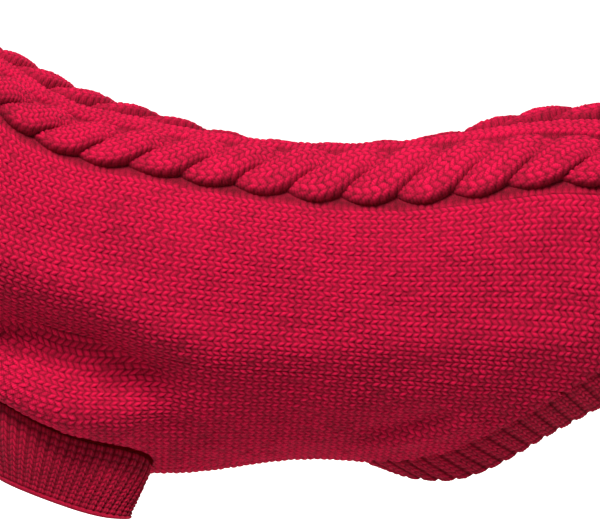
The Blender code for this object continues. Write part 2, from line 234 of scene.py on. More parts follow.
@dataclass
class Form:
    """The garment's filled-out shape, read anywhere by row number and length round it.

    Row numbers run from the neck to the tail. Length round is measured from the top centre
    line, with the left side at -Y.

    Attributes:
        sections: A row for each section: x and z of its top point, x and z of its low point, half
            width, share of the chest outline, share of the barrel outline, width of one stitch,
            half width of the belly panel.
        outlines: Half outlines from the top down, for a half width and half height of 1: out and
            rise of the neck, of the chest and of the barrel.
        hem_line: The hem seam: height up the cloth from the belly's centre line, x.
        creases: The creases of the cloth.
        bulge_out: How far the cloth bulges out over each leg opening.
        bulge_long: Half the bulge's length.
        bulge_tall: Half its height.
        bulge_x: x of its middle.
        bulge_z: z of its middle.
        bulge_slope: Angle of its length to level, in radians.
        bulge_start: Distance from the middle plane at which the bulge starts.
        bulge_full: Distance past that over which it comes in.
        zero_row: The row at which lengths along the body are 0.
        steps: Rows of the dense table to one section.
        around: Places of the dense table on half the way round.
        hem_from: Row from which the hem seam is looked for.
        halvings: How many times the search for it halves.
    """

    sections: np.ndarray = field(default_factory=lambda: np.array([
        (-205, 78, -272, 20, 45, 0.00, 0.0, 4.00, 22),
        (-192, 67, -284, -34, 55, 0.35, 0.0, 4.30, 24),
        (-174, 54, -262, -92, 62, 0.75, 0.0, 4.60, 29),
        (-150, 40, -212, -136, 66, 1.00, 0.0, 4.75, 36),
        (-125, 26, -164, -158, 67, 1.00, 0.0, 4.80, 40),
        (-95, 16, -120, -168, 65, 0.80, 0.2, 4.75, 38),
        (-60, 8, -80, -170, 63, 0.40, 0.6, 4.65, 31),
        (0, 2.4, -12, -161, 62, 0.00, 1.0, 4.60, 28),
        (60, 7, 50, -166, 62, 0.00, 1.0, 4.95, 28),
        (110, 16, 104, -162, 60, 0.00, 1.0, 5.50, 28),
        (150, 17, 146, -157, 55, 0.00, 1.0, 5.75, 28),
        (190, 12, 190, -150, 47, 0.00, 1.0, 5.90, 28),
        (226, 2, 236, -136, 38, 0.00, 1.0, 5.90, 28),
    ], float))
    outlines: np.ndarray = field(default_factory=lambda: np.array([
        (0.000, 1.000, 0.000, 1.000, 0.000, 1.000),
        (0.309, 0.951, 0.330, 0.955, 0.340, 0.955),
        (0.588, 0.809, 0.630, 0.810, 0.640, 0.820),
        (0.809, 0.588, 0.850, 0.600, 0.850, 0.610),
        (0.951, 0.309, 0.965, 0.370, 0.960, 0.350),
        (1.000, 0.000, 1.000, 0.180, 1.000, 0.130),
        (0.985, -0.170, 0.980, 0.020, 1.000, -0.060),
        (0.940, -0.342, 0.900, -0.160, 0.975, -0.200),
        (0.810, -0.588, 0.790, -0.400, 0.870, -0.430),
        (0.588, -0.809, 0.620, -0.660, 0.640, -0.730),
        (0.309, -0.951, 0.360, -0.900, 0.340, -0.935),
        (0.000, -1.000, 0.000, -1.000, 0.000, -1.000),
    ], float))
    hem_line: np.ndarray = field(default_factory=lambda: np.array([
        (0, 15), (12, 16), (24, 20), (31, 28), (37, 43), (45, 57), (55, 72), (68, 91), (80, 109),
        (93, 130), (110, 150), (132, 166), (160, 178), (190, 186), (225, 190), (245, 191),
    ], float))
    creases: tuple[Crease, ...] = ()
    bulge_out: float = 17
    bulge_long: float = 62
    bulge_tall: float = 34
    bulge_x: float = -125
    bulge_z: float = -110
    bulge_slope: float = math.radians(-24)
    bulge_start: float = 16
    bulge_full: float = 26
    zero_row: float = 7.0
    steps: int = 40
    around: int = 241
    hem_from: float = 6.0
    halvings: int = 40

    def __post_init__(self) -> None:
        """Work out the dense table that every reading uses."""
        self.last = len(self.sections) - 1
        self.rows = np.linspace(0, self.last, self.last * self.steps + 1)
        read = smooth_rows(self.sections, self.rows)
        self.stitch, self.belly = read[:, 7], read[:, 8]
        chest, barrel = np.clip(read[:, 5], 0, 1), np.clip(read[:, 6], 0, 1)
        both = np.vstack([self.outlines[::-1] * (-1, 1, -1, 1, -1, 1), self.outlines[1:]])
        middle = len(self.outlines) - 1
        half = smooth_rows(both, np.linspace(middle, 2 * middle, 401))
        self.half = np.empty(len(self.rows))
        self.table = np.empty((len(self.rows), self.around, 3))
        for k, (top_x, top_z, low_x, low_z, width) in enumerate(read[:, :5]):
            shares = (1 - chest[k] - barrel[k], chest[k], barrel[k])
            out = sum(share * half[:, 2 * n] for n, share in enumerate(shares))
            rise = sum(share * half[:, 2 * n + 1] for n, share in enumerate(shares))
            line = np.stack([(top_x + low_x) / 2 + rise * (top_x - low_x) / 2, out * width,
                             (top_z + low_z) / 2 + rise * (top_z - low_z) / 2], axis=1)
            lengths = lengths_along(line)
            self.half[k] = lengths[-1]
            even = np.linspace(0, lengths[-1], self.around)
            for axis in range(3):
                self.table[k, :, axis] = np.interp(even, lengths, line[:, axis])
        self.side_length = self.line_length(0.42)
        self.low_length = self.line_length(0.99)

    def line_length(self, share: float) -> np.ndarray:
        """Give the length along the body at every row, along a line that share of the way down."""
        lengths = lengths_along(self.table[:, int(share * (self.around - 1))])
        return lengths - np.interp(self.zero_row, self.rows, lengths)

    def value(self, column: np.ndarray, row: np.ndarray) -> np.ndarray:
        """Read one value, such as the stitch width, at row numbers."""
        return np.interp(row, self.rows, column)

    def base(self, row: np.ndarray, along: np.ndarray) -> np.ndarray:
        """Give points of the smooth form, before its creases.

        Args:
            row: Row numbers.
            along: Lengths round from the top centre line, below 0 on the left side.

        Returns:
            The points, with one more axis of size 3.
        """
        row = np.clip(row, 0, self.last - 1e-6)
        share = np.abs(along) / self.value(self.half, row)
        over = share > 1
        n = np.clip(np.where(over, 2 - share, share), 0, 1 - 1e-9) * (self.around - 1)
        side = np.where(along < 0, -1, 1) * np.where(over, -1, 1)
        k = row * self.steps
        k0, n0 = np.floor(k).astype(int), np.floor(n).astype(int)
        row_part, part = (k - k0)[..., None], (n - n0)[..., None]
        near = self.table[k0, n0] * (1 - part) + self.table[k0, n0 + 1] * part
        far = self.table[k0 + 1, n0] * (1 - part) + self.table[k0 + 1, n0 + 1] * part
        points = near * (1 - row_part) + far * row_part
        points[..., 1] *= side
        return self.with_bulge(points)

    def with_bulge(self, points: np.ndarray) -> np.ndarray:
        """Move points outwards where the cloth bulges over a leg opening."""
        dx, dz = points[..., 0] - self.bulge_x, points[..., 2] - self.bulge_z
        c, s = math.cos(self.bulge_slope), math.sin(self.bulge_slope)
        along, across = dx * c + dz * s, dz * c - dx * s
        share = np.maximum(0, 1 - (along / self.bulge_long) ** 2 - (across / self.bulge_tall) ** 2)
        weight = smooth_step((np.abs(points[..., 1]) - self.bulge_start) / self.bulge_full)
        points = points.copy()
        points[..., 1] += np.copysign(self.bulge_out * share ** 2 * weight, points[..., 1])
        return points

    def surface(self, row: np.ndarray, along: np.ndarray) -> tuple[np.ndarray, np.ndarray]:
        """Give a grid of points with creases, and the outward direction at each.

        Args:
            row: Row numbers, columns by rows.
            along: Lengths round, the same shape.

        Returns:
            The points and the outward directions.
        """
        points, out = self.base(row, along), self.outward(row, along)
        rise = sum((crease.rise_at(points) for crease in self.creases), np.zeros(points.shape[:-1]))
        return points + out * rise[..., None], out

    def outward(self, row: np.ndarray, along: np.ndarray) -> np.ndarray:
        """Give the smooth form's outward direction at each row number and length round."""
        before, after = np.maximum(row - 0.04, 0), np.minimum(row + 0.04, self.last)
        lengthways = self.base(after, along) - self.base(before, along)
        around = self.base(row, along + 0.8) - self.base(row, along - 0.8)
        out = unit(np.cross(around, lengthways))
        middles = (self.table[:, 0] + self.table[:, -1]) / 2
        middle = np.stack([self.value(column, row) for column in middles.T], axis=-1)
        return out * np.sign(((self.base(row, along) - middle) * out).sum(-1).mean())

    def hem_clearance(self, row: np.ndarray, along: np.ndarray, points: np.ndarray) -> np.ndarray:
        """Give how far in front of the hem seam each point lies."""
        up = np.abs(self.value(self.half, row) - np.abs(along))
        return np.interp(up, self.hem_line[:, 0], self.hem_line[:, 1]) - points[..., 0]

    def girth_shares(self, count: int) -> np.ndarray:
        """Give shares of the half girth, from the top down the right side and up the left."""
        turn = np.linspace(0, 2, count, endpoint=False)
        return np.where(turn > 1, turn - 2, turn)

    def hem_ring(self, count: int = 720) -> tuple[np.ndarray, np.ndarray, np.ndarray]:
        """Follow the hem seam round the garment, by halving on each lengthways line.

        Args:
            count: How many places to find.

        Returns:
            The places, the outward directions and the directions along the body, in order from
            the top centre line down the right side and up the left.
        """
        share = self.girth_shares(count)
        low, high = np.full(count, self.hem_from), np.full(count, float(self.last))
        for _ in range(self.halvings):
            row = (low + high) / 2
            along = share * self.value(self.half, row)
            before = self.hem_clearance(row, along, self.base(row, along)) > 0
            low, high = np.where(before, row, low), np.where(before, high, row)
        return self.ring_at(low, share)

    def ring_at(self, row: np.ndarray,
                share: np.ndarray) -> tuple[np.ndarray, np.ndarray, np.ndarray]:
        """Give places, outward and lengthways directions.

        Args:
            row: Row numbers.
            share: Shares of the half girth, below 0 on the left side.

        Returns:
            The places, the outward directions and the directions along the body.
        """
        def place(rows: np.ndarray, shares: np.ndarray) -> np.ndarray:
            """Read the form at a share of the way round."""
            return self.base(rows, shares * self.value(self.half, rows))

        before, after = np.maximum(row - 0.05, 0), np.minimum(row + 0.05, self.last)
        lengthways = place(after, share) - place(before, share)
        around = place(row, share + 0.004) - place(row, share - 0.004)
        places = place(row, share)
        out = unit(np.cross(around, lengthways))
        middle = places.mean(0)
        outward = np.sign(((places - middle) * out).sum(-1))[:, None]
        return places, out * outward, unit(lengthways)


# ---- Knitting: columns and courses of stitches as a grid ----


class Wale(Enum):
    """The kinds of column that a knitter works."""

    KNIT = "knit"
    PURL = "purl"
    GROUND = "ground"


# Where the grid lines of each kind of wale stand across it, as shares of its width.
WALE_LINES = {
    Wale.KNIT: (0.0, 0.14, 0.36, 0.5, 0.64, 0.86),
    Wale.PURL: (0.0, 0.3, 0.7),
    Wale.GROUND: (0.0,),
}
COURSE_LINES = (0.0, 0.25, 0.5, 0.75)
LEG_SLANT = 0.62

# The V stitch: fullness of a leg at its edges, how square its top is, what is left of its height
# where courses meet, and how far the whole lies low.
LEG_FOOT, LEG_SQUARE, COURSE_FOOT, LEG_LOW = 0.3, 2.2, 0.12, 0.04
# The purl bump: its height, and how square it is across and lengthways.
PURL_HEIGHT, PURL_ACROSS, PURL_ALONG = 0.6, 2.6, 1.8
# Unevenness of heights and of places, as spread and bounds.
UNEVEN, UNEVEN_LEAST, UNEVEN_MOST = 0.2, 0.55, 1.45
SWAY, SWAY_MOST = 0.05, 0.08


@dataclass
class Knitting:
    """A grid of stitches, wales by courses, with its relief.

    Attributes:
        wales: The kind of each wale in order.
        courses: How many courses.
        first_wale: Number of the first wale's near edge.
        first_course: Number of the first course.
        ring: True if the last wale meets the first.
        seed: Seed of the small unevenness from stitch to stitch.
        forward: 1 if the V stitches open towards later courses, -1 if towards earlier ones.
    """

    wales: Sequence[Wale]
    courses: int
    first_wale: float = 0.0
    first_course: float = 0.0
    ring: bool = False
    seed: int = 1
    forward: int = -1

    def __post_init__(self) -> None:
        """Lay out the grid lines and work out the relief."""
        columns, cuts = [], [0]
        for number, kind in enumerate(self.wales):
            columns += [(number, share, kind) for share in WALE_LINES[kind]]
            cuts.append(len(columns))
        if not self.ring:
            columns.append((len(self.wales) - 1, 1.0, self.wales[-1]))
        self.cuts_i = cuts
        per_course = len(COURSE_LINES)
        self.cuts_j = list(range(0, self.courses * per_course + 1, per_course))
        number = np.array([c[0] for c in columns])
        share = np.array([c[1] for c in columns])
        knit = np.array([c[2] is Wale.KNIT for c in columns])
        purl = np.array([c[2] is Wale.PURL for c in columns])
        course = np.repeat(np.arange(self.courses + 1), per_course)[:self.courses * per_course + 1]
        q = np.tile(COURSE_LINES, self.courses + 1)[:self.courses * per_course + 1]
        side = np.abs(2 * share - 1)
        slant = np.where(knit, side, 1.0) * LEG_SLANT * self.forward
        self.wale = (self.first_wale + number + share)[:, None] + np.zeros(len(q))[None, :]
        self.straight = self.first_course + (course + q)[None, :] + np.zeros(len(share))[:, None]
        self.course = self.straight + slant[:, None]
        lengthways = np.abs(2 * q - 1)
        across = LEG_FOOT + (1 - LEG_FOOT) * (1 - np.abs(2 * side - 1) ** LEG_SQUARE)
        height = COURSE_FOOT + (1 - COURSE_FOOT) * (1 - lengthways ** LEG_SQUARE)
        leg = across[:, None] * height - LEG_LOW
        arc = (1 - side ** PURL_ACROSS)[:, None] * (1 - lengthways ** PURL_ALONG)
        relief = np.where(knit[:, None], leg, np.where(purl[:, None], PURL_HEIGHT * arc, 0.0))
        rng = np.random.default_rng(self.seed)
        uneven = rng.normal(1.0, UNEVEN, (len(self.wales) * 2 + 1, self.courses + 1))
        sway = rng.normal(0.0, SWAY, (len(self.wales), self.courses + 1))
        sway = np.clip(sway, -SWAY_MOST, SWAY_MOST)[number][:, course]
        leg_number = 2 * number + (share > 0.5)
        self.relief = relief * np.clip(uneven[leg_number][:, course], UNEVEN_LEAST, UNEVEN_MOST)
        edge = (share % 1.0 == 0)[:, None] | (q == 0)[None, :]
        self.sway = np.where(edge, 0.0, sway)


def snap_to_edge(wale: np.ndarray, course: np.ndarray, keep: np.ndarray, cells: np.ndarray,
                 clearance: Callable[[np.ndarray, np.ndarray], np.ndarray]) -> None:
    """Move the corners along a cut onto the cut itself, so that its edge is clean.

    Args:
        wale: Wale number at each corner, changed in place.
        course: Course number at each corner, changed in place.
        keep: True where a corner lies inside the cut.
        cells: True where a cell is kept.
        clearance: Distance inside the cut for wale and course numbers.
    """
    touching, wanted = np.zeros(keep.shape, int), np.zeros(keep.shape, int)
    for di in (0, 1):
        for dj in (0, 1):
            around = slice(di, di + cells.shape[0]), slice(dj, dj + cells.shape[1])
            touching[around] += cells
            wanted[around] += 1
    edge = (touching > 0) & (touching < wanted)
    step = 0.02
    for _ in range(2):
        w, c = wale[edge], course[edge]
        at = clearance(w, c)
        by_w = (clearance(w + step, c) - at) / step
        by_c = (clearance(w, c + step) - at) / step
        size = np.maximum(by_w ** 2 + by_c ** 2, 0.5)
        share = np.clip(at / size, -0.25, 0.25)
        wale[edge] = w - share * by_w
        course[edge] = c - share * by_c


# ---- Mesh making ----


@dataclass
class Cloth:
    """A closed thin shell made of two matching grids.

    Attributes:
        name: Name of the piece.
        outer: Outer points, columns by rows by 3.
        inner: Inner points, the same shape.
        cells: True for each cell that is cloth.
        cuts_i: Grid lines, across, that bound whole stitches.
        cuts_j: Grid lines, lengthways, that bound whole stitches.
        wale: Wale number at each corner, for the finish.
        course: Course number at each corner, for the finish.
        painted_shading: How light the painted shade leaves the yarn, from 0 in the gaps between
            yarns to 1 on top of them.
        ring: True if the last column meets the first.
    """

    name: str
    outer: np.ndarray
    inner: np.ndarray
    cells: np.ndarray
    cuts_i: Sequence[int]
    cuts_j: Sequence[int]
    wale: np.ndarray
    course: np.ndarray
    painted_shading: np.ndarray
    ring: bool = False

    def build(self, material: bpy.types.Material) -> bpy.types.Object:
        """Make the mesh object.

        Args:
            material: The finish of the whole piece.

        Returns:
            The new object, linked to the scene.
        """
        self.faces, self.uv = [], []
        i, j = np.nonzero(self.cells)
        self.add_cells([(i, j), (i, j + 1), (i + 1, j + 1), (i + 1, j)], inside=False)
        self.add_inner()
        self.add_rim()
        points = np.concatenate([self.outer.reshape(-1, 3), self.inner.reshape(-1, 3)]) * MM
        used = np.zeros(len(points), bool)
        used[np.concatenate(self.faces)] = True
        number = np.cumsum(used) - 1
        turn = -1 if self.inside_out() else 1
        mesh = bpy.data.meshes.new(self.name)
        faces = [number[face[::turn]].tolist() for face in self.faces]
        mesh.from_pydata(points[used].tolist(), [], faces)
        mesh.polygons.foreach_set("use_smooth", np.ones(len(self.faces), bool))
        self.add_values(mesh, np.concatenate([corners[::turn] for corners in self.uv]), used)
        mesh.materials.append(material)
        made = bpy.data.objects.new(self.name, mesh)
        bpy.context.scene.collection.objects.link(made)
        return made

    def inside_out(self) -> bool:
        """Tell whether the faces as listed would point into the cloth."""
        i, j = np.nonzero(self.cells)
        i, j = i[::SAMPLE], j[::SAMPLE]
        here, beyond = self.outer[i, j], self.outer[np.mod(i + 1, len(self.outer)), j]
        one, other = self.outer[i, j + 1] - here, beyond - here
        return float((np.cross(one, other) * (here - self.inner[i, j])).sum()) < 0

    def number_at(self, i: np.ndarray, j: np.ndarray, inside: bool) -> np.ndarray:
        """Number the corner at a column and a row of the outer or the inner grid."""
        columns, rows = self.painted_shading.shape
        return (np.mod(i, columns) if self.ring else i) * rows + j + inside * columns * rows

    def uv_at(self, i: np.ndarray, j: np.ndarray, inside: bool) -> np.ndarray:
        """Lay the outer face out on the layout, with the inner face in a strip beside it."""
        columns, rows = self.painted_shading.shape
        u, v = i / (columns if self.ring else columns - 1), j / (rows - 1)
        u = 0.86 + 0.12 * u if inside else 0.01 + 0.82 * u
        return np.stack([u, 0.01 + 0.98 * v], -1)

    def add_cells(self, corners: Sequence[tuple[np.ndarray, np.ndarray]], inside: bool) -> None:
        """Add one face for each cell, from the columns and rows of its corners."""
        self.faces += list(np.stack([self.number_at(i, j, inside) for i, j in corners], 1))
        self.uv += list(np.stack([self.uv_at(i, j, inside) for i, j in corners], 1))

    def padded(self, cells: np.ndarray) -> np.ndarray:
        """Put a border round a grid of cells: empty, or the far column on a ring."""
        around = np.pad(cells, 1)
        if self.ring:
            around[0, 1:-1], around[-1, 1:-1] = cells[-1], cells[0]
        return around

    def add_inner(self) -> None:
        """Add the inner faces: one for each whole stitch, and one for each cell of a cut stitch."""
        cut_i, cut_j = self.cuts_i, self.cuts_j
        wide, tall = np.diff(cut_i), np.diff(cut_j)
        kept = np.add.reduceat(self.cells.astype(int), cut_i[:-1], 0)
        kept = np.add.reduceat(kept, cut_j[:-1], 1)
        whole = kept == np.outer(wide, tall)
        beside = self.padded(whole)
        for a, b in zip(*np.nonzero(whole)):
            i0, i1, j0, j1 = cut_i[a], cut_i[a + 1], cut_j[b], cut_j[b + 1]
            low, high = beside[a + 1, b], beside[a + 1, b + 2]
            left, right = beside[a, b + 1], beside[a + 2, b + 1]
            line = [(i, j0) for i in ((i0,) if low else range(i0, i1))]
            line += [(i1, j) for j in ((j0,) if right else range(j0, j1))]
            line += [(i, j1) for i in ((i1,) if high else range(i1, i0, -1))]
            line += [(i0, j) for j in ((j1,) if left else range(j1, j0, -1))]
            i, j = np.array(line).T
            self.faces.append(self.number_at(i, j, True))
            self.uv.append(self.uv_at(i, j, True))
        i, j = np.nonzero(self.cells & ~np.repeat(np.repeat(whole, wide, 0), tall, 1))
        self.add_cells([(i, j), (i + 1, j), (i + 1, j + 1), (i, j + 1)], inside=True)

    def add_rim(self) -> None:
        """Add the faces that join the outer and inner faces along every edge of the cloth."""
        columns, rows = self.cells.shape
        around = self.padded(self.cells)
        # Each edge of a cell: how its neighbour lies, and its two corners in face order.
        for di, dj, first, second in ((-1, 0, (0, 0), (0, 1)), (1, 0, (1, 1), (1, 0)),
                                      (0, -1, (1, 0), (0, 0)), (0, 1, (0, 1), (1, 1))):
            i, j = np.nonzero(self.cells & ~around[1 + di:1 + di + columns, 1 + dj:1 + dj + rows])
            edge = [(i + second[0], j + second[1]), (i + first[0], j + first[1])]
            numbers = [self.number_at(*corner, False) for corner in edge]
            numbers += [self.number_at(*corner, True) for corner in edge[::-1]]
            places = [self.uv_at(*corner, False) for corner in edge]
            places += [self.uv_at(a + 0.3 * di, b + 0.3 * dj, False) for a, b in edge[::-1]]
            self.faces += list(np.stack(numbers, 1))
            self.uv += list(np.stack(places, 1))

    def add_values(self, mesh: bpy.types.Mesh, uv: np.ndarray, used: np.ndarray) -> None:
        """Store the layout and the values that the finish reads."""
        layer = mesh.uv_layers.new(name="OFBake")
        layer.data.foreach_set("uv", uv.astype(np.float32).ravel())
        # The inner face gets one even level of painted shade.
        inner_shading = np.full_like(self.painted_shading, INNER_SHADING)
        for name, pair in (("wale", (self.wale, self.wale)), ("course", (self.course, self.course)),
                           ("painted_shading", (self.painted_shading, inner_shading))):
            column = np.stack(pair).ravel()
            attribute = mesh.attributes.new(name, "FLOAT", "POINT")
            attribute.data.foreach_set("value", column[used].astype(np.float32))

    def flat_sizes(self) -> tuple[float, float, float]:
        """Measure the cloth laid flat along its plain face, in metres: width, length and area."""
        face, cells = self.inner, self.cells
        if self.ring:
            face = np.concatenate([face, face[:1]])
        across, along = (np.linalg.norm(np.diff(face, axis=axis), axis=-1) for axis in (0, 1))
        keep_across = np.maximum(np.pad(cells, ((0, 0), (0, 1))), np.pad(cells, ((0, 0), (1, 0))))
        keep_along = np.maximum(np.pad(cells, ((0, 1), (0, 0))), np.pad(cells, ((1, 0), (0, 0))))
        one, other = face[1:, 1:] - face[:-1, :-1], face[1:, :-1] - face[:-1, 1:]
        area = (np.linalg.norm(np.cross(one, other), axis=-1) / 2 * cells).sum()
        width, length = (across * keep_across).sum(0).max(), (along * keep_along).sum(1).max()
        return width * MM, length * MM, area * MM * MM


class KnittedPiece:
    """A piece that works itself out as a shell. Its kinds hold a name and a node."""

    def cloth(self) -> Cloth:
        """Work the piece out."""
        raise NotImplementedError

    def build(self, finish: bpy.types.Material, slot: str) -> bpy.types.Object:
        """Make the piece, attach it to the body, and hide the solid that it stands for.

        Args:
            finish: Its material.
            slot: Not used.

        Returns:
            The new piece.
        """
        cloth = self.cloth()
        piece = cloth.build(finish)
        width, length, area = cloth.flat_sizes()
        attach(piece, BODY)
        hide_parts(self.node)
        round(min(area, width * length), 5)
        triangles = sum(len(face.vertices) - 2 for face in piece.data.polygons)
        LOG.info("%s: %d triangles, %.0f x %.0f mm flat, %.0f cm2", piece.name, triangles,
                 width / MM, length / MM, area * 1e4)
        return piece


# ---- The knitted pieces ----


# Wales from the back's centre line to the middle of the purl valley, and to the cables' far edge.
RIB_EDGE = 1.75
CABLE_EDGE = 8.6

# Where those lines lie along the back, by row: length round to the left valley, to the left
# cable's far edge, and to the right valley.
BACK_WANDER = np.array([
    (0.0, 5, 34, 9), (2.6, 9, 36, 6), (3.0, 12, 37.5, 3), (3.45, 16, 41.5, -1), (4.3, 16, 42, -1),
    (5.3, 10, 38, 9), (6.1, 6, 38.5, 16), (6.7, 5, 41.5, 19), (7.15, 5, 44, 19), (7.6, 5.5, 46, 18),
    (7.9, 6, 46, 16), (8.33, 8, 45.5, 10), (8.9, 15, 46.5, 0), (9.4, 20, 48, -3),
    (10.3, 20, 49, -2), (12.0, 17, 50, 0),
])


@dataclass
class Gauge:
    """How wales and courses lie on the form.

    Attributes:
        form: The garment's shape.
        course_step: Length of one course along the body.
        line: Which of the form's lengthways lines the courses are counted along.
    """

    form: Form
    course_step: float = 3.3
    line: np.ndarray | None = None

    def __post_init__(self) -> None:
        """Take the side line when no other is named."""
        self.line = self.form.side_length if self.line is None else self.line

    @property
    def first(self) -> float:
        """Give the course number at the neck seam."""
        return float(self.line[0] / self.course_step)

    @property
    def last(self) -> float:
        """Give the course number at the tail end of the form."""
        return float(self.line[-1] / self.course_step)

    def row(self, course: np.ndarray) -> np.ndarray:
        """Turn course numbers into row numbers of the form."""
        return np.interp(course * self.course_step, self.line, self.form.rows)

    def along(self, wale: np.ndarray, row: np.ndarray) -> np.ndarray:
        """Turn signed wale numbers into lengths round the form, where the cables wander."""
        stitch = self.form.value(self.form.stitch, row)
        near, edge, far = (np.interp(row, BACK_WANDER[:, 0], BACK_WANDER[:, k]) for k in (1, 2, 3))
        away = np.abs(wale)
        middle = -near + (near + far) * (wale + RIB_EDGE) / (2 * RIB_EDGE)
        start = np.where(wale < 0, near, far)
        end = np.where(wale < 0, edge, far + (CABLE_EDGE - RIB_EDGE) * stitch)
        cable = start + (end - start) * (away - RIB_EDGE) / (CABLE_EDGE - RIB_EDGE)
        plain = away * stitch + (end - CABLE_EDGE * stitch) * np.exp(-(away - CABLE_EDGE) / 12)
        outer = np.where(away < CABLE_EDGE, cable, plain)
        return np.where(away < RIB_EDGE, middle, np.copysign(outer, wale))


@dataclass
class Relief:
    """How high the stitches stand and how uneven the cloth is.

    Attributes:
        stitch: Height of a V stitch.
        wall: Thickness of the cloth under its stitches.
        wander: Height of the slow unevenness of the cloth.
        seed: Shift of that unevenness.
    """

    stitch: float = 1.15
    wall: float = 1.3
    wander: float = 0.35
    seed: float = 0.5

    def slow(self, points: np.ndarray) -> np.ndarray:
        """Give the slow unevenness at each point, as three waves of unlike lengths."""
        x, y, z = (points[..., k] for k in range(3))
        seed = self.seed
        small = np.sin(x / 9.1 + z / 13.7 + seed) * np.sin(z / 8.3 - y / 11.0 + 1.7 * seed)
        large = 0.7 * np.sin(x / 17.0 - z / 19.0 + 2.1 + seed)
        return self.wander * (small + large + 0.4 * np.sin(y / 6.1 + x / 23.0)) / 1.6


@dataclass
class Panel(KnittedPiece):
    """A piece of plain or ribbed cloth on the form, cut along its seams.

    Attributes:
        name: Name of the piece.
        gauge: How its stitches lie.
        relief: How high they stand.
        wales: The kind of each wale in order.
        first_wale: Signed number of its first wale.
        node: The solid it stands for.
        from_low: True if its wales are counted from the belly's centre line.
        seed: Seed of its small unevenness.
        legs: The openings that cut it.
        seam_gap: How far short of a seam it stops.
        sink: How far the foot of its stitches lies under the form.
        seam_dip: How far it dips at its edges.
        dip_reach: How far in from an edge the dip reaches.
        seam_flat: Share of the stitches' height that is lost at its edges.
        flat_reach: How far in from an edge they are lower.
        ragged: How far past its edge a corner may lie and still be moved onto it.
    """

    name: str
    gauge: Gauge
    relief: Relief
    wales: Sequence[Wale]
    first_wale: float
    node: str
    from_low: bool = False
    seed: int = 1
    legs: tuple[LegOpening, ...] = (LegOpening(-1), LegOpening(1))
    seam_gap: float = 0.15
    sink: float = 0.5
    seam_dip: float = 0.9
    dip_reach: float = 1.3
    seam_flat: float = 0.6
    flat_reach: float = 0.8
    ragged: float = 0.4

    def place(self, wale: np.ndarray, course: np.ndarray) -> tuple[np.ndarray, np.ndarray]:
        """Turn wale and course numbers into row numbers and lengths round the form."""
        row = self.gauge.row(course)
        if self.from_low:
            form = self.gauge.form
            return row, form.value(form.half, row) + wale * form.value(form.stitch, row)
        return row, self.gauge.along(wale, row)

    def clearance(self, wale: np.ndarray, course: np.ndarray) -> np.ndarray:
        """Give how far inside the piece's cut edges each wale and course number lies."""
        form = self.gauge.form
        row, along = self.place(wale, course)
        points = form.base(row, along)
        half, belly = form.value(form.half, row), form.value(form.belly, row)
        if self.from_low:
            seam = belly - self.seam_gap - np.abs(along - half)
        else:
            seam = half - belly - self.seam_gap - np.abs(along)
        neck = (course - self.gauge.first) * self.gauge.course_step
        room = np.minimum(np.minimum(seam, neck), form.hem_clearance(row, along, points))
        for leg in self.legs:
            room = np.minimum(room, leg.clearance(points))
        return room

    def low(self, wale: np.ndarray) -> np.ndarray:
        """Give how far the cloth lies below its usual level, across the wales."""
        return np.zeros_like(wale)

    def cloth(self) -> Cloth:
        """Work the piece out as a shell."""
        form = self.gauge.form
        count = int(math.ceil(self.gauge.last - self.gauge.first)) + 1
        knitting = Knitting(self.wales, count, self.first_wale, self.gauge.first, seed=self.seed)
        wale, course = knitting.wale + knitting.sway, knitting.course.copy()
        keep = self.clearance(wale, course) > -self.ragged
        cells = without_pinches(keep[1:, 1:] & keep[:-1, 1:] & keep[1:, :-1] & keep[:-1, :-1])
        snap_to_edge(wale, course, keep, cells, self.clearance)
        row, along = self.place(wale, course)
        points, out = form.surface(row, along)
        room = np.maximum(self.clearance(wale, course), 0)
        stitch = self.relief.stitch * (1 - self.seam_flat * np.exp(-room / self.flat_reach))
        height = knitting.relief * stitch
        level = self.low(wale) + self.relief.slow(points) - self.sink
        level = level - self.seam_dip * np.exp(-room / self.dip_reach)
        outer = points + out * (height + level)[..., None]
        inner = points + out * (level - self.relief.wall)[..., None]
        return Cloth(self.name, outer, inner, cells, knitting.cuts_i, knitting.cuts_j,
                     knitting.wale, knitting.course, self.shade(wale, knitting.relief))

    def shade(self, wale: np.ndarray, relief: np.ndarray) -> np.ndarray:
        """Give how light the painted shade leaves the yarn at each corner, from its height: darker
        where it lies lower.
        """
        return relief


def without_pinches(cells: np.ndarray) -> np.ndarray:
    """Drop cells that touch their neighbours at a corner alone or hang by less than an edge."""
    cells = cells.copy()
    for _ in range(12):
        a, b, c, d = cells[:-1, :-1], cells[1:, :-1], cells[:-1, 1:], cells[1:, 1:]
        one, other = a & d & ~b & ~c, b & c & ~a & ~d
        padded = np.pad(cells, 1).astype(int)
        sides = padded[:-2, 1:-1] + padded[2:, 1:-1] + padded[1:-1, :-2] + padded[1:-1, 2:]
        lone = cells & (sides <= 1)
        if not (one.any() or other.any() or lone.any()):
            break
        cells[:-1, :-1][one] = False
        cells[1:, :-1][other] = False
        cells[lone] = False
    return cells


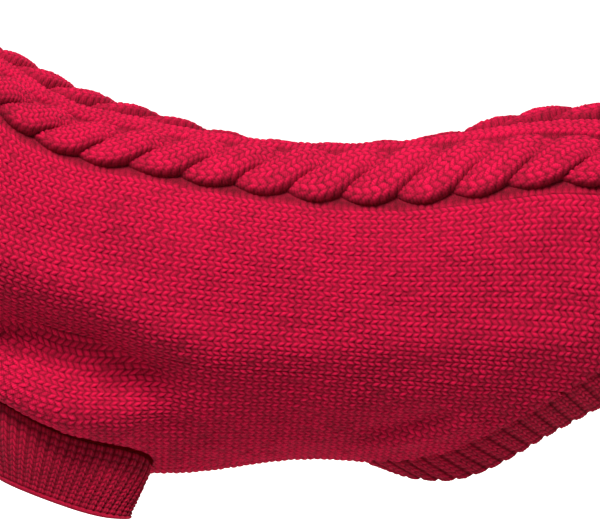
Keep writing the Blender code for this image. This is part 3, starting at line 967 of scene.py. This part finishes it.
@dataclass
class RibAndGround(Panel):
    """The centre of the back: a rib between purl valleys, and the ground under the cables.

    Attributes:
        purl_low: How far the purl valleys lie low.
        ground_low: How far the ground under the cables lies low.
        rib_rise: How high the rounded rib stands.
    """

    purl_low: float = 2.0
    ground_low: float = 2.0
    rib_rise: float = 1.4

    def low(self, wale: np.ndarray) -> np.ndarray:
        """Sink the purl valleys and the ground of the cables."""
        away = np.abs(wale)
        valley = np.exp(-((away - 2.0) / 0.55) ** 4) + np.exp(-((away - 9.0) / 0.55) ** 4)
        ground = smooth_step((away - 1.9) / 0.7) * smooth_step((8.9 - away) / 0.7)
        rib = self.rib_rise * np.sqrt(np.clip(1 - (away / 1.7) ** 2, 0, 1))
        return rib - np.maximum(self.purl_low * valley, self.ground_low * ground)

    def shade(self, wale: np.ndarray, relief: np.ndarray) -> np.ndarray:
        """Darken the valleys beside the cables, where little light reaches."""
        away = np.abs(wale)
        valley = np.exp(-((away - 2.1) / 0.6) ** 4) + np.exp(-((away - 8.7) / 0.5) ** 4)
        return relief * (1 - 0.75 * np.clip(valley, 0, 1))


@dataclass
class Strand(KnittedPiece):
    """One of the two twisted strands of a rope cable, three wales wide.

    Attributes:
        name: Name of the piece.
        gauge: How its stitches lie.
        relief: How high they stand.
        centre: Signed wale number of the cable's middle.
        half_turn: 0 for the first strand, 0.5 for the second.
        node: The solid it stands for.
        seed: Seed of its small unevenness.
        swing: How far it swings each way, in wales.
        snap: How briskly it swings over; 0 is an even wave.
        lift_front: How far it rises in front.
        lift_back: How far it sinks behind.
        dome: How high its rounded top stands.
        half_width: Half its width, in wales.
        period: Courses between two crossings of the same strand.
        first_cross: Course number of one crossing.
        lean: How much longer it stays in front than behind.
        lead: How far its height runs ahead of its swing, in turns.
        edge_low: How far its edges lie under the form.
        groove: Depth of the line between two wales.
        stitch_share: Height of its stitches, as a share of a plain stitch.
        end_ease: Courses over which each end sinks into the cloth.
        under: How far its underside lies below its top at least.
        clear: How far inside the hem seam it ends.
        edge_shade: Share of its light that is lost at its edges.
        back_shade: Share of its light that is lost where it passes behind.
    """

    name: str
    gauge: Gauge
    relief: Relief
    centre: float
    half_turn: float
    node: str = "back_panel"
    seed: int = 1
    swing: float = 1.42
    snap: float = 0.8
    lift_front: float = 2.4
    lift_back: float = 3.0
    dome: float = 3.9
    half_width: float = 1.78
    period: float = 16.0
    first_cross: float = -3.4
    lean: float = 0.16
    lead: float = -0.08
    edge_low: float = 2.0
    groove: float = 0.1875
    stitch_share: float = 0.8
    end_ease: float = 1.2
    under: float = 0.8
    clear: float = 0.6
    edge_shade: float = 0.7
    back_shade: float = 0.28

    def path(self, course: np.ndarray) -> tuple[np.ndarray, np.ndarray]:
        """Give the strand's middle in wales and its height in front of the cable's middle."""
        turns = (course - self.first_cross) / self.period + self.lead + self.half_turn
        turn = 2 * math.pi * turns
        turn = turn + self.lean * np.cos(turn)
        high = np.sin(turn)
        away = self.swing * np.tanh(self.snap * np.cos(turn)) / math.tanh(self.snap)
        return -away, np.where(high > 0, self.lift_front, self.lift_back) * high

    def cloth(self) -> Cloth:
        """Work the strand out as a closed bundle."""
        form = self.gauge.form
        fine = np.linspace(self.gauge.first + 0.3, self.gauge.last, 4000)
        stitch = form.value(form.stitch, self.gauge.row(fine))
        away = np.gradient(self.path(fine)[0], fine) * stitch / self.gauge.course_step
        steps = np.hypot(np.diff(fine), (away * np.gradient(fine))[1:])
        lengths = np.concatenate([[0], np.cumsum(steps)])
        total = float(np.interp(self.end_course(fine), fine, lengths))
        count = int(round(total))
        knitting = Knitting([Wale.KNIT] * 3, count, seed=self.seed)
        at = np.clip(knitting.course, 0, count) * (total / count)
        middle = np.interp(at, lengths, fine)
        v = (knitting.wale - 1.5) / 1.5
        swing, high = self.path(middle)
        stitch = form.value(form.stitch, self.gauge.row(middle))
        slope = np.interp(middle, fine, away)
        half = self.half_width * stitch * v / np.hypot(1, slope)
        course = np.maximum(middle - half * slope / self.gauge.course_step, self.gauge.first + 0.2)
        row = self.gauge.row(course)
        points, out = form.surface(row, self.gauge.along(self.centre + swing + half / stitch, row))
        side = np.abs(v)
        at_edge = side > 0.999
        level = high + self.dome * (1 - np.minimum(side, 1) ** 2.3) ** 0.6
        level = level + self.stitch_share * knitting.relief * self.relief.stitch
        level = level - self.groove * np.exp(-((side - 1 / 3) / 0.07) ** 2)
        ends = smooth_step(at / self.end_ease) * smooth_step((total - at) / self.end_ease)
        level = np.where(at_edge, -self.edge_low, level * ends - (1 - ends))
        # Painted shade: darker at the strand's edges and where it passes behind, on top of the
        # painted shade in its stitches' gaps.
        shade = 1 - self.edge_shade * smooth_step((side - 0.6) / 0.4)
        shade = shade * (1 - self.back_shade * (1 - smooth_step(high + 1.0)))
        under = np.minimum(np.minimum(level, high) - self.under, -1.2)
        cells = np.ones((v.shape[0] - 1, v.shape[1] - 1), bool)
        outer, inner = points + out * level[..., None], points + out * under[..., None]
        return Cloth(self.name, outer, inner, cells, knitting.cuts_i, knitting.cuts_j,
                     knitting.wale + self.centre, knitting.course, knitting.relief * shade)

    def end_course(self, fine: np.ndarray) -> float:
        """Find the course at which the strand runs under the hem band."""
        form = self.gauge.form
        row = self.gauge.row(fine)
        along = self.gauge.along(np.full_like(fine, self.centre), row)
        inside = form.hem_clearance(row, along, form.base(row, along)) > self.clear
        return float(fine[np.nonzero(inside)[0][-1]])


@dataclass
class Band(KnittedPiece):
    """A ribbed band knitted round an opening, with a rounded rim.

    Attributes:
        name: Name of the piece.
        node: The solid it stands for.
        relief: How high its stitches stand.
        ribs: How many ribs go round it.
        pattern: The wales of one rib.
        width: Its width from seam to rim.
        courses: How many courses it is wide.
        wall: Thickness of the cloth.
        valley: How far the purl wales lie below the knit ones.
        lip: Width of the smooth rounded rim.
        ridge: Height of the bind-off line beside the rim.
        purl_share: Share of the way round that is valley.
        seed: Seed of its small unevenness.
        lip_ease: Width over which the ribs run out into the rim.
        seam_ease: Width over which they rise from the seam.
        seam_low: How far the band starts under the body's cloth.
        round_share: Radius of its edges, as a share of the wall.
    """

    name: str
    node: str
    relief: Relief
    ribs: int
    pattern: tuple[Wale, ...]
    width: float
    courses: int
    wall: float = 2.6
    valley: float = 1.3
    lip: float = 2.0
    ridge: float = 0.0
    purl_share: float = 0.28
    seed: int = 1
    lip_ease: float = 0.9
    seam_ease: float = 1.2
    seam_low: float = 1.5
    round_share: float = 0.42

    def surface(self, turn: np.ndarray, share: np.ndarray) -> tuple[np.ndarray, np.ndarray]:
        """Give the band's smooth outer points and outward directions.

        Args:
            turn: Share of the way round, 0 to 1.
            share: Share of the way from seam to rim, the same shape.

        Returns:
            The points and the outward directions.
        """
        raise NotImplementedError

    def cloth(self) -> Cloth:
        """Work the band out as a shell."""
        wales = list(self.pattern) * self.ribs
        knitting = Knitting(wales, self.courses, ring=True, seed=self.seed, forward=1)
        turn = self.narrowed(knitting.wale) / len(wales)
        reach = knitting.straight / self.courses
        shift = (knitting.course - knitting.straight - LEG_SLANT) / self.courses
        share = reach + shift * np.sin(math.pi * reach)
        points, out = self.surface(turn, share)
        from_rim = (1 - share) * self.width
        in_lip, lip_top = np.zeros_like(share), 0.0
        if self.lip > 0:
            in_lip = smooth_step((self.lip - from_rim) / self.lip_ease)
            lip_top = bump(from_rim / self.lip) * self.wall * 0.5 - 0.1
        fade = smooth_step(share * self.width / self.seam_ease) * (1 - in_lip)
        height = knitting.relief * self.relief.stitch + self.rib_wave(knitting)
        height = height * fade + in_lip * lip_top
        edge = np.clip(1 - from_rim / (self.wall * 0.55), 0, 1)
        rounding = self.wall * self.round_share * (1 - np.sqrt(np.clip(1 - edge ** 2, 0, 1)))
        height = height - rounding - self.seam_low * np.exp(-share * self.width / 1.5)
        height = height + self.ridge * np.exp(-((from_rim - self.lip - 1.0) / 0.55) ** 2)
        outer = points + out * height[..., None]
        inner = points + out * np.minimum(rounding - self.wall, height - 1.0)[..., None]
        cells = np.ones((points.shape[0], points.shape[1] - 1), bool)
        # The last values are the painted shade: darker in the stitches' gaps and the purl valleys,
        # one even level on the smooth rim.
        return Cloth(self.name, outer, inner, cells, knitting.cuts_i, knitting.cuts_j,
                     knitting.wale, knitting.course, np.where(in_lip > 0.5, 0.8, knitting.relief),
                     ring=True)

    def narrowed(self, wale: np.ndarray) -> np.ndarray:
        """Move wale numbers so that the purl wales close up between the ribs."""
        size, part = len(self.pattern), np.mod(wale, len(self.pattern))
        knits = self.pattern.count(Wale.KNIT)
        rib = size * (1 - self.purl_share)
        return wale - part + np.interp(part, (0, knits, size), (0, rib, size))

    def rib_wave(self, knitting: Knitting) -> np.ndarray:
        """Give the valleys' fall between the rounded ribs, without stitches."""
        size = len(self.pattern)
        rib_middle = size * (1 - self.purl_share) / 2
        place = self.narrowed(knitting.wale) - rib_middle + size / 2
        share = np.clip(np.abs(np.mod(place, size) / (size / 2) - 1), 0, 1)
        return -self.valley * (1 - np.sqrt(1 - share ** 2.6))


@dataclass
class Collar(Band):
    """The neck band, a tube a little narrower than the neck seam.

    Attributes:
        form: The garment's shape.
        waist: Its narrowest size, as a share of the seam's.
        rim: Its size at the rim, as a share of the seam's.
        tuck: How far it starts under the body's cloth.
        places: How many places of the seam it reads.
    """

    form: Form | None = None
    waist: float = 0.955
    rim: float = 0.99
    tuck: float = 1.2
    places: int = 480

    def __post_init__(self) -> None:
        """Read the neck seam and the direction in which the band rises."""
        share = self.form.girth_shares(self.places)
        places, outs, _ = self.form.ring_at(np.zeros(self.places), share)
        top, low = self.form.table[0, 0], self.form.table[0, -1]
        rise = unit(np.cross((0, 1, 0), top - low))
        self.rise = rise if rise[2] > 0 else -rise
        self.middle = (top + low) / 2
        flat_out = unit(outs - np.outer(outs @ self.rise, self.rise))
        self.read = ring_reader(places, np.concatenate([places, outs, flat_out], axis=1))

    def surface(self, turn: np.ndarray, share: np.ndarray) -> tuple[np.ndarray, np.ndarray]:
        """Give the band's smooth outer points and outward directions."""
        read = self.read(turn)
        place, out, flat_out = read[..., :3], read[..., 3:6], read[..., 6:]
        sizes = np.array([[1.0], [self.waist], [self.waist], [self.rim]])
        at = np.interp(share, (0, 0.25, 0.65, 1), (0, 1, 2, 3))
        waist = smooth_rows(sizes, at.ravel()).reshape(share.shape)
        up = self.rise * ((self.width + self.tuck) * share - self.tuck)[..., None]
        ring = self.middle + (place - self.middle) * waist[..., None] + up
        mix = smooth_step(share / 0.25)[..., None]
        return ring, unit(out * (1 - mix) + flat_out * mix)


@dataclass
class HemBand(Band):
    """The band along the slanting hem, hanging a little at the belly's corner.

    Attributes:
        form: The garment's shape.
        corner_x: x of the corner.
        corner_spread: How far the corner's effect spreads.
        flare: How far the band turns outwards at the corner.
        hang: How far it turns lengthways there.
        curl: How far its rim curls in elsewhere, as a share of its width.
        tuck: How far it starts under the body's cloth.
    """

    form: Form | None = None
    corner_x: float = 44
    corner_spread: float = 27
    flare: float = 0.85
    hang: float = 1.3
    curl: float = 0.10
    tuck: float = 1.4

    def __post_init__(self) -> None:
        """Read the hem seam and the direction in which the band leaves it."""
        places, outs, ways = self.form.hem_ring()
        round_it = unit(np.roll(places, -1, 0) - np.roll(places, 1, 0))
        away = unit(np.cross(outs, round_it))
        away *= np.sign((away * ways).sum(1))[:, None]
        corner = np.exp(-((places[:, 0] - self.corner_x) / self.corner_spread) ** 2)[:, None]
        away = unit(eased_ring(unit(away + corner * (self.hang * ways + self.flare * outs)), 14))
        outs = unit(eased_ring(outs, 8))
        self.read = ring_reader(places, np.concatenate([places, outs, away, corner], axis=1))

    def surface(self, turn: np.ndarray, share: np.ndarray) -> tuple[np.ndarray, np.ndarray]:
        """Give the band's smooth outer points and outward directions."""
        read = self.read(turn)
        place, out, away, corner = read[..., :3], read[..., 3:6], read[..., 6:9], read[..., 9]
        reach = (self.width + self.tuck) * share - self.tuck
        curl = self.width * self.curl * share ** 2 * (1 - corner)
        points = place + away * reach[..., None] - out * curl[..., None]
        square = unit(out - away * (out * away).sum(-1, keepdims=True))
        return points, square


@dataclass
class Cuff(Band):
    """The ribbed tube of one front leg, from its opening to its hanging rim.

    Attributes:
        leg: The opening it is sewn into.
        walls: A search tree of the body's cloth.
        rim_centre: Middle of the rim, on the left side.
        rim_slope: Angle of the rim's length to level, in radians.
        rim_tilt: Angle of its width to level, in radians.
        rim_long: Half the rim's length.
        rim_wide: Half its width.
        rear_lift: How far its rear end is lifted.
        inset: How far inside the opening the cuff starts.
        inward: How far inside the body the search for the cloth starts.
        bend: How far the tube bows out of the opening.
        places: How many places of the rim it works out.
    """

    leg: LegOpening = LegOpening(-1)
    walls: BVHTree | None = None
    rim_centre: tuple[float, float, float] = (-133, -45, -167)
    rim_slope: float = math.radians(-22)
    rim_tilt: float = math.radians(20)
    rim_long: float = 35
    rim_wide: float = 16.5
    rear_lift: float = 3
    inset: float = 0.3
    inward: float = 30
    bend: float = 0.6
    places: int = 240

    def __post_init__(self) -> None:
        """Find the seam on the body and the rim, all round."""
        centre, axis, fore, up = self.leg.directions()
        rim_fore = np.array((math.cos(self.rim_slope), 0, math.sin(self.rim_slope)))
        rim_up = np.array((0, self.leg.side * math.cos(self.rim_tilt), math.sin(self.rim_tilt)))
        angle = np.linspace(0, 2 * math.pi, self.places, endpoint=False)
        c, s = np.cos(angle)[:, None], np.sin(angle)[:, None]
        a, b = (value[:, None] for value in self.leg.outline(angle))
        start = centre - axis * self.inward
        long, wide = self.leg.long - self.inset, self.leg.wide - self.inset
        start = start + fore * a * long + up * b * wide
        reach = np.array([self.wall_distance(place, axis) for place in start])
        seam = start + axis * eased_ring(reach[:, None], 2)
        rim = np.array(self.rim_centre) * (1, -self.leg.side, 1) + rim_fore * c * self.rim_long
        lift = np.array((0, 0, self.rear_lift)) * np.maximum(c, 0) ** 3
        rim = rim + rim_up * s * self.rim_wide + lift
        across = unit(fore * c / self.leg.long + up * s / self.leg.wide)
        rim_across = unit(rim_fore * c / self.rim_long + rim_up * s / self.rim_wide)
        bow = axis * np.linalg.norm(rim - seam, axis=1, keepdims=True) * self.bend
        self.read = ring_reader(rim, np.concatenate([seam, rim, across, rim_across, bow], axis=1))

    def wall_distance(self, start: np.ndarray, axis: np.ndarray) -> float:
        """Give how far along the axis the body's cloth lies."""
        place, _, _, distance = self.walls.ray_cast(Vector(start), Vector(axis), 3 * self.inward)
        return distance if place is not None else self.inward

    def surface(self, turn: np.ndarray, share: np.ndarray) -> tuple[np.ndarray, np.ndarray]:
        """Give the band's smooth outer points and outward directions."""
        seam, rim, across, rim_across, bow = np.split(self.read(turn), 5, axis=-1)
        part = share[..., None]
        points = seam * (1 - part) + rim * part + bow * (1 - part) ** 2 * part
        return points, unit(across * (1 - part) + rim_across * part)


def body_walls(form: Form) -> BVHTree:
    """Make a search tree of the body's smooth form, in millimetres."""
    row, share = np.meshgrid(np.linspace(0, form.last, 200), np.linspace(-1, 1, 201), indexing="ij")
    points = form.base(row, share * form.value(form.half, row))
    wide = points.shape[1]
    a, b = np.meshgrid(np.arange(points.shape[0] - 1), np.arange(wide - 1), indexing="ij")
    corner = (a * wide + b).ravel()
    quads = np.stack([corner, corner + 1, corner + wide + 1, corner + wide], 1)
    return BVHTree.FromPolygons([Vector(p) for p in points.reshape(-1, 3)], quads.tolist())


# ---- Finishes ----


class Graph:
    """The node tree of one material, with one method that adds any node."""

    def __init__(self, material: bpy.types.Material) -> None:
        """Start from an empty tree."""
        material.use_nodes = True
        self.tree = material.node_tree
        self.tree.nodes.clear()

    def add(self, kind: str, settings: dict[str, Any] | None = None,
            **inputs: Any) -> bpy.types.Node:
        """Add a node.

        Args:
            kind: The node's type name.
            settings: Its options, by attribute name.
            inputs: Its inputs by name, with underscores for spaces; numbers or sockets.

        Returns:
            The new node.
        """
        node = self.tree.nodes.new(kind)
        for name, value in (settings or {}).items():
            setattr(node, name, value)
        for name, value in inputs.items():
            self.feed(node.inputs[name.replace("_", " ")], value)
        return node

    def feed(self, target: bpy.types.NodeSocket, value: Any) -> None:
        """Set an input to a number, or link it to a socket."""
        if isinstance(value, Value):
            self.tree.links.new(value.socket, target)
        elif isinstance(value, bpy.types.NodeSocket):
            self.tree.links.new(value, target)
        else:
            target.default_value = value

    def attribute(self, name: str) -> "Value":
        """Read a value stored on the mesh."""
        node = self.add("ShaderNodeAttribute",
                        {"attribute_type": "GEOMETRY", "attribute_name": name})
        return Value(self, node.outputs["Fac"])

    def noise(self, scale: float, detail: float, place: bpy.types.NodeSocket) -> "Value":
        """Read soft noise at a place."""
        node = self.add("ShaderNodeTexNoise", {"noise_dimensions": "3D"}, Vector=place, Scale=scale,
                        Detail=detail)
        return Value(self, node.outputs["Fac"])

    def place(self) -> bpy.types.NodeSocket:
        """Give the place on the object."""
        return self.add("ShaderNodeTexCoord").outputs["Object"]

    def mix(self, share: "Value", low: Any, high: Any) -> bpy.types.NodeSocket:
        """Blend two colours."""
        node = self.add("ShaderNodeMix", {"data_type": "RGBA"})
        self.feed(node.inputs[0], share)
        self.feed(node.inputs[6], low)
        self.feed(node.inputs[7], high)
        return node.outputs[2]


class Value:
    """A number carried by a socket, with ordinary arithmetic."""

    def __init__(self, graph: Graph, socket: bpy.types.NodeSocket) -> None:
        """Hold the socket and the graph it belongs to."""
        self.graph = graph
        self.socket = socket

    def math(self, operation: str, other: Any = None, flip: bool = False,
             clamp: bool = False) -> "Value":
        """Add one maths node.

        Args:
            operation: The operation's name.
            other: The second operand, if it has one.
            flip: True to swap the operands.
            clamp: True to keep the result from 0 to 1.

        Returns:
            The result.
        """
        node = self.graph.add("ShaderNodeMath", {"operation": operation, "use_clamp": clamp})
        operands = [self] if other is None else [self, other]
        for target, value in zip(node.inputs, reversed(operands) if flip else operands):
            self.graph.feed(target, value)
        return Value(self.graph, node.outputs[0])

    def __add__(self, other: Any) -> "Value":
        """Add."""
        return self.math("ADD", other)

    __radd__ = __add__

    def __sub__(self, other: Any) -> "Value":
        """Subtract."""
        return self.math("SUBTRACT", other)

    def __rsub__(self, other: Any) -> "Value":
        """Subtract from a number."""
        return self.math("SUBTRACT", other, flip=True)

    def __mul__(self, other: Any) -> "Value":
        """Multiply."""
        return self.math("MULTIPLY", other)

    __rmul__ = __mul__

    def __truediv__(self, other: Any) -> "Value":
        """Divide."""
        return self.math("DIVIDE", other)

    def __rtruediv__(self, other: Any) -> "Value":
        """Divide a number."""
        return self.math("DIVIDE", other, flip=True)

    def __pow__(self, other: Any) -> "Value":
        """Raise to a power."""
        return self.math("POWER", other)

    def __abs__(self) -> "Value":
        """Drop the sign."""
        return self.math("ABSOLUTE")

    def sine(self) -> "Value":
        """Give the sine."""
        return self.math("SINE")

    def fraction(self) -> "Value":
        """Give the part after the point."""
        return self.math("FRACT")

    def limited(self) -> "Value":
        """Keep from 0 to 1."""
        return self.math("ADD", 0.0, clamp=True)


@dataclass(frozen=True)
class YarnFinish:
    """Worsted yarn: plied, a little fuzzy, with shade painted darker in the gaps.

    Attributes:
        name: Name of the material.
        light: Colour of the yarn on top of it, where no shade is painted.
        shade_colour: Colour of the painted shade in the gaps between yarns.
        roughness: Middle of the roughness.
        sheen: Weight of the fuzz's sheen.
        sheen_tint: Colour of the fuzz's sheen.
        ply_rise: Height of the plies, in metres.
        fibre_rise: Height of the fibres, in metres.
        twist: Plies to one stitch.
    """

    name: str
    light: tuple[float, float, float, float]
    shade_colour: tuple[float, float, float, float]
    roughness: float = 0.86
    sheen: float = 0.10
    sheen_tint: tuple[float, float, float, float] = (1.0, 0.22, 0.40, 1)
    ply_rise: float = 0.00030
    fibre_rise: float = 0.00030
    twist: float = 3.0

    def make(self) -> bpy.types.Material:
        """Make the material."""
        material = bpy.data.materials.new(self.name)
        material.diffuse_color = self.light
        graph = Graph(material)
        place = graph.place()
        wale, course = graph.attribute("wale"), graph.attribute("course")
        painted_shading = graph.attribute("painted_shading")
        side = abs(wale.fraction() * 2 - 1)
        ply = ((course * self.twist + side * 1.6) * (2 * math.pi)).sine() * 0.5 + 0.5
        fibre = graph.noise(1500, 4, place)
        cloud = graph.noise(38, 2, place)
        blotch = graph.noise(420, 2, place)
        # The tone mixes painted shade, from the painted shading on the mesh, with the yarn's own
        # ply, fibre and blotchy colour.
        tone = (painted_shading * 0.95 + 0.06 + ply * 0.12 + (fibre - 0.5) * 0.7 + (cloud - 0.5) * 0.25
                + (blotch - 0.5) * 0.4).limited()
        colour = graph.mix(tone, self.shade_colour, self.light)
        rough = (self.roughness + (fibre - 0.5) * 0.16).limited()
        rise = ply * self.ply_rise * (painted_shading * 0.8 + 0.2) + fibre * self.fibre_rise
        bump = graph.add("ShaderNodeBump", None, Height=rise, Distance=1.0, Strength=1.0)
        shader = graph.add("ShaderNodeBsdfPrincipled", None, Base_Color=colour, Roughness=rough,
                           Normal=bump.outputs["Normal"], Sheen_Weight=self.sheen,
                           Sheen_Roughness=0.4, Sheen_Tint=self.sheen_tint, Specular_IOR_Level=0.18)
        graph.add("ShaderNodeOutputMaterial", None, Surface=shader.outputs[0])
        return material


@dataclass(frozen=True)
class PlainFinish:
    """A plain surface of the studio.

    Attributes:
        name: Name of the material.
        colour: Its colour.
        glow: How strongly it glows by itself.
    """

    name: str
    colour: tuple[float, float, float, float]
    glow: float = 0.0

    def make(self) -> bpy.types.Material:
        """Make the material."""
        material = bpy.data.materials.new(self.name)
        graph = Graph(material)
        shader = graph.add("ShaderNodeBsdfPrincipled", None, Base_Color=self.colour, Roughness=0.95,
                           Emission_Color=self.colour, Emission_Strength=self.glow)
        graph.add("ShaderNodeOutputMaterial", None, Surface=shader.outputs[0])
        return material


# ---- The studio ----


@dataclass
class Studio:
    """The floor, the bright backdrop, the soft lamp and the camera, in metres.

    Attributes:
        target: What the camera looks at.
        distance: How far away the camera stands.
        elevation: How far above level it looks from.
        lens: Its focal length, in millimetres.
        floor_z: Height of the floor.
        fill: Strength of the light from all round.
        lamp_place: Where the soft lamp hangs.
        lamp_size: Its width.
        lamp_power: Its power, in watts.
    """

    target: tuple[float, float, float] = (-0.015, 0.0, -0.0568)
    distance: float = 0.900
    elevation: float = math.radians(20)
    lens: float = 108
    floor_z: float = -0.5
    fill: float = 0.13
    lamp_place: tuple[float, float, float] = (-0.12, -0.56, 1.18)
    lamp_size: float = 0.34
    lamp_power: float = 26.0

    def add(self, name: str, data: bpy.types.ID, place: tuple[float, float, float] = (0, 0, 0),
            aim: Vector | None = None) -> bpy.types.Object:
        """Put an object in the scene.

        Args:
            name: Its name.
            data: Its mesh, lamp or camera.
            place: Where it stands.
            aim: The direction it faces, if it faces one.

        Returns:
            The new object.
        """
        made = bpy.data.objects.new(name, data)
        made.location = place
        if aim is not None:
            made.rotation_euler = aim.to_track_quat("-Z", "Y").to_euler()
        bpy.context.scene.collection.objects.link(made)
        return made

    def plane(self, low: tuple[float, float], high: tuple[float, float], z: float,
              finish: PlainFinish) -> None:
        """Lay a level plane between two corners, named after its finish."""
        mesh = bpy.data.meshes.new(finish.name)
        (x0, y0), (x1, y1) = low, high
        corners = [(x0, y0, z), (x1, y0, z), (x1, y1, z), (x0, y1, z)]
        mesh.from_pydata(corners, [], [(0, 1, 2, 3)])
        mesh.materials.append(finish.make())
        self.add(finish.name, mesh)

    def build(self) -> None:
        """Set the studio up."""
        floor = PlainFinish("floor", (0.85, 0.85, 0.85, 1), 0.22)
        backdrop = PlainFinish("backdrop", (1, 1, 1, 1), 1.1)
        self.plane((-5, -5), (5, 5), self.floor_z, floor)
        self.plane((-2.2, 0.42), (2.2, 5), self.floor_z + 0.002, backdrop)
        world = bpy.data.worlds.new("studio")
        world.use_nodes = True
        background = world.node_tree.nodes["Background"]
        background.inputs["Color"].default_value = (1, 1, 1, 1)
        background.inputs["Strength"].default_value = self.fill
        bpy.context.scene.world = world
        light = bpy.data.lights.new("key", "AREA")
        light.shape, light.size, light.energy = "SQUARE", self.lamp_size, self.lamp_power
        self.add("key", light, self.lamp_place, Vector(self.target) - Vector(self.lamp_place))
        camera = bpy.data.cameras.new("camera")
        camera.lens, camera.sensor_width, camera.clip_start = self.lens, 36, 0.05
        back = Vector((0, -math.cos(self.elevation), math.sin(self.elevation)))
        place = Vector(self.target) + back * self.distance
        bpy.context.scene.camera = self.add("camera", camera, place, -back)
        bpy.context.scene.view_settings.view_transform = "Standard"


# ---- The sweater ----


def both_sides(line: Sequence[tuple[float, float]], width: float, rise: float,
               shift: tuple[float, float], share: float,
               fade: float = 0.25) -> tuple[Crease, Crease]:
    """Place a crease on the left side and a similar one on the right.

    Args:
        line: x and z of the places the left one runs through.
        width: How wide it spreads.
        rise: How far it stands out.
        shift: How far the right one lies from its mirror image.
        share: Size of the right one, as a share of the left one's.
        fade: Share of its length over which each end dies away.

    Returns:
        The two creases.
    """
    other = tuple((x + shift[0], z + shift[1]) for x, z in line)
    return (Crease(tuple(line), width, rise, -1, fade),
            Crease(other, width * share, rise * share, 1, fade))


CREASES = (
    # The long turn along the widest part of each side, where the cloth starts to run under.
    *both_sides(((-190, -14), (-153, -30), (-126, -41), (-103, -53), (-81, -68), (-53, -77),
                 (-15, -79), (23, -76), (60, -74), (108, -75), (150, -72)),
                13, 3.4, (6, 3), 0.9, 0.12),
    # The two hollows over the shoulder, and the roll of cloth above the leg band.
    *both_sides(((-182, -52), (-154, -66), (-127, -75), (-104, -86), (-84, -99), (-64, -112)),
                17, -7.5, (-5, -2), 0.8),
    *both_sides(((-182, -66), (-152, -80), (-128, -88), (-106, -98), (-88, -110)),
                13, -5.5, (-4, -3), 0.8, 0.2),
    *both_sides(((-178, -96), (-155, -101), (-130, -110), (-112, -121)), 7, 3.2, (4, 2), 0.9),
    *both_sides(((-98, -132), (-84, -124), (-66, -122)), 7, -2.2, (4, -3), 0.8),
    # The roll of cloth over the hem band, where it hangs at the belly, and the hollow over it.
    *both_sides(((14, -141), (27, -136), (44, -131), (60, -124), (76, -112)),
                5.5, 2.4, (3, 2), 0.85),
    *both_sides(((8, -131), (27, -126), (44, -121), (60, -113)), 6.5, -1.8, (2, 2), 0.8),
    # The back falls away a little sooner on the right side, behind the middle rib.
    Crease(((-84, 2), (-50, -4), (-10, -6), (30, -5), (70, 0), (96, 4)), 13, -3.8, 1, 0.3),
    # Slight drags towards the legs and the neck.
    *both_sides(((-150, -10), (-118, -22), (-88, -36)), 9, -1.1, (10, 4), 0.8),
    *both_sides(((-20, -108), (18, -104), (60, -97), (96, -86)), 12, 1.2, (-8, 5), 0.9),
    *both_sides(((100, -20), (128, -34), (150, -52)), 12, -1.3, (6, 6), 0.9),
    *both_sides(((126, -10), (150, -20), (168, -36)), 11, 1.0, (4, 4), 0.9),
)


@dataclass
class Sweater:
    """All the knitted pieces on one form.

    Attributes:
        form: The garment's shape, with its creases.
    """

    form: Form = field(default_factory=lambda: Form(creases=CREASES))

    def panels(self) -> list[Panel]:
        """List the panels of the back and the belly."""
        side, low = Gauge(self.form), Gauge(self.form, line=self.form.low_length)
        relief = Relief()
        knit = [Wale.KNIT]
        centre = ([Wale.PURL] + [Wale.GROUND] * 6 + [Wale.PURL] + knit * 3 + [Wale.PURL]
                  + [Wale.GROUND] * 6 + [Wale.PURL])
        return [
            *(Panel(name, side, relief, knit * wales, first, "back_panel", seed=seed)
              for name, wales, first, seed in (
                  ("side_left_upper", 18, -27.5, 2), ("side_left_lower", 22, -49.5, 3),
                  ("side_right_upper", 18, 9.5, 4), ("side_right_lower", 22, 27.5, 5))),
            RibAndGround("back_centre", side, relief, centre, -9.5, "back_panel", seed=6),
            Panel("belly", low, relief, knit * 18, -9.0, "belly_panel", from_low=True, seed=7),
        ]

    def strands(self) -> list[Strand]:
        """List the four strands of the two cables; the right cable lies a little flatter."""
        side, relief, flat = Gauge(self.form), Relief(), {"dome": 3.2, "lift_front": 1.9}
        return [Strand(f"cable_{name}", side, relief, centre, half_turn, seed=seed, **sizes)
                for name, centre, half_turn, seed, sizes in (
                    ("left_first", -5.5, 0.0, 8, {}), ("left_second", -5.5, 0.5, 9, {}),
                    ("right_first", 5.5, 0.0, 10, flat), ("right_second", 5.5, 0.5, 11, flat))]

    def bands(self) -> list[Band]:
        """List the ribbed bands."""
        relief = Relief(stitch=0.75)
        one, pair = (Wale.KNIT, Wale.PURL), (Wale.KNIT, Wale.KNIT, Wale.PURL)
        two = (Wale.KNIT, Wale.KNIT, Wale.PURL, Wale.PURL)
        walls = body_walls(self.form)
        return [
            Collar("collar_knit", "collar", relief, 30, two, 45, 15, form=self.form, seed=12,
                   purl_share=0.36, valley=1.8),
            *(Cuff(f"cuff_{name}_knit", f"cuff_{name}", relief, 46, one, 38, 13, lip=3.2, ridge=0.5,
                   leg=LegOpening(leg), walls=walls, valley=1.7, seed=seed)
              for name, leg, seed in (("left", -1, 13), ("right", 1, 14))),
            HemBand("hem_band_knit", "hem_band", relief, 66, pair, 22, 7, form=self.form,
                    valley=2.6, purl_share=0.24, lip=0.0, seed=15),
        ]

    def build(self) -> None:
        """Knit every piece."""
        body = YarnFinish("crimson_worsted", (0.80, 0.003, 0.062, 1), (0.11, 0.0004, 0.007, 1))
        # The ribbed bands take a darker copy of the same yarn: painted shade.
        rib = YarnFinish("crimson_rib", (0.70, 0.004, 0.052, 1), (0.09, 0.0004, 0.006, 1))
        for finish, slot, pieces in ((body, "body_knit", [*self.panels(), *self.strands()]),
                                     (rib, "rib_knit", self.bands())):
            material = finish.make()
            for piece in pieces:
                piece.build(material, slot)


def main() -> None:
    """Build the sweater and the studio."""
    logging.basicConfig(level=logging.INFO, format="%(message)s")
    Sweater().build()
    Studio().build()


if __name__ == "__main__":
    main()
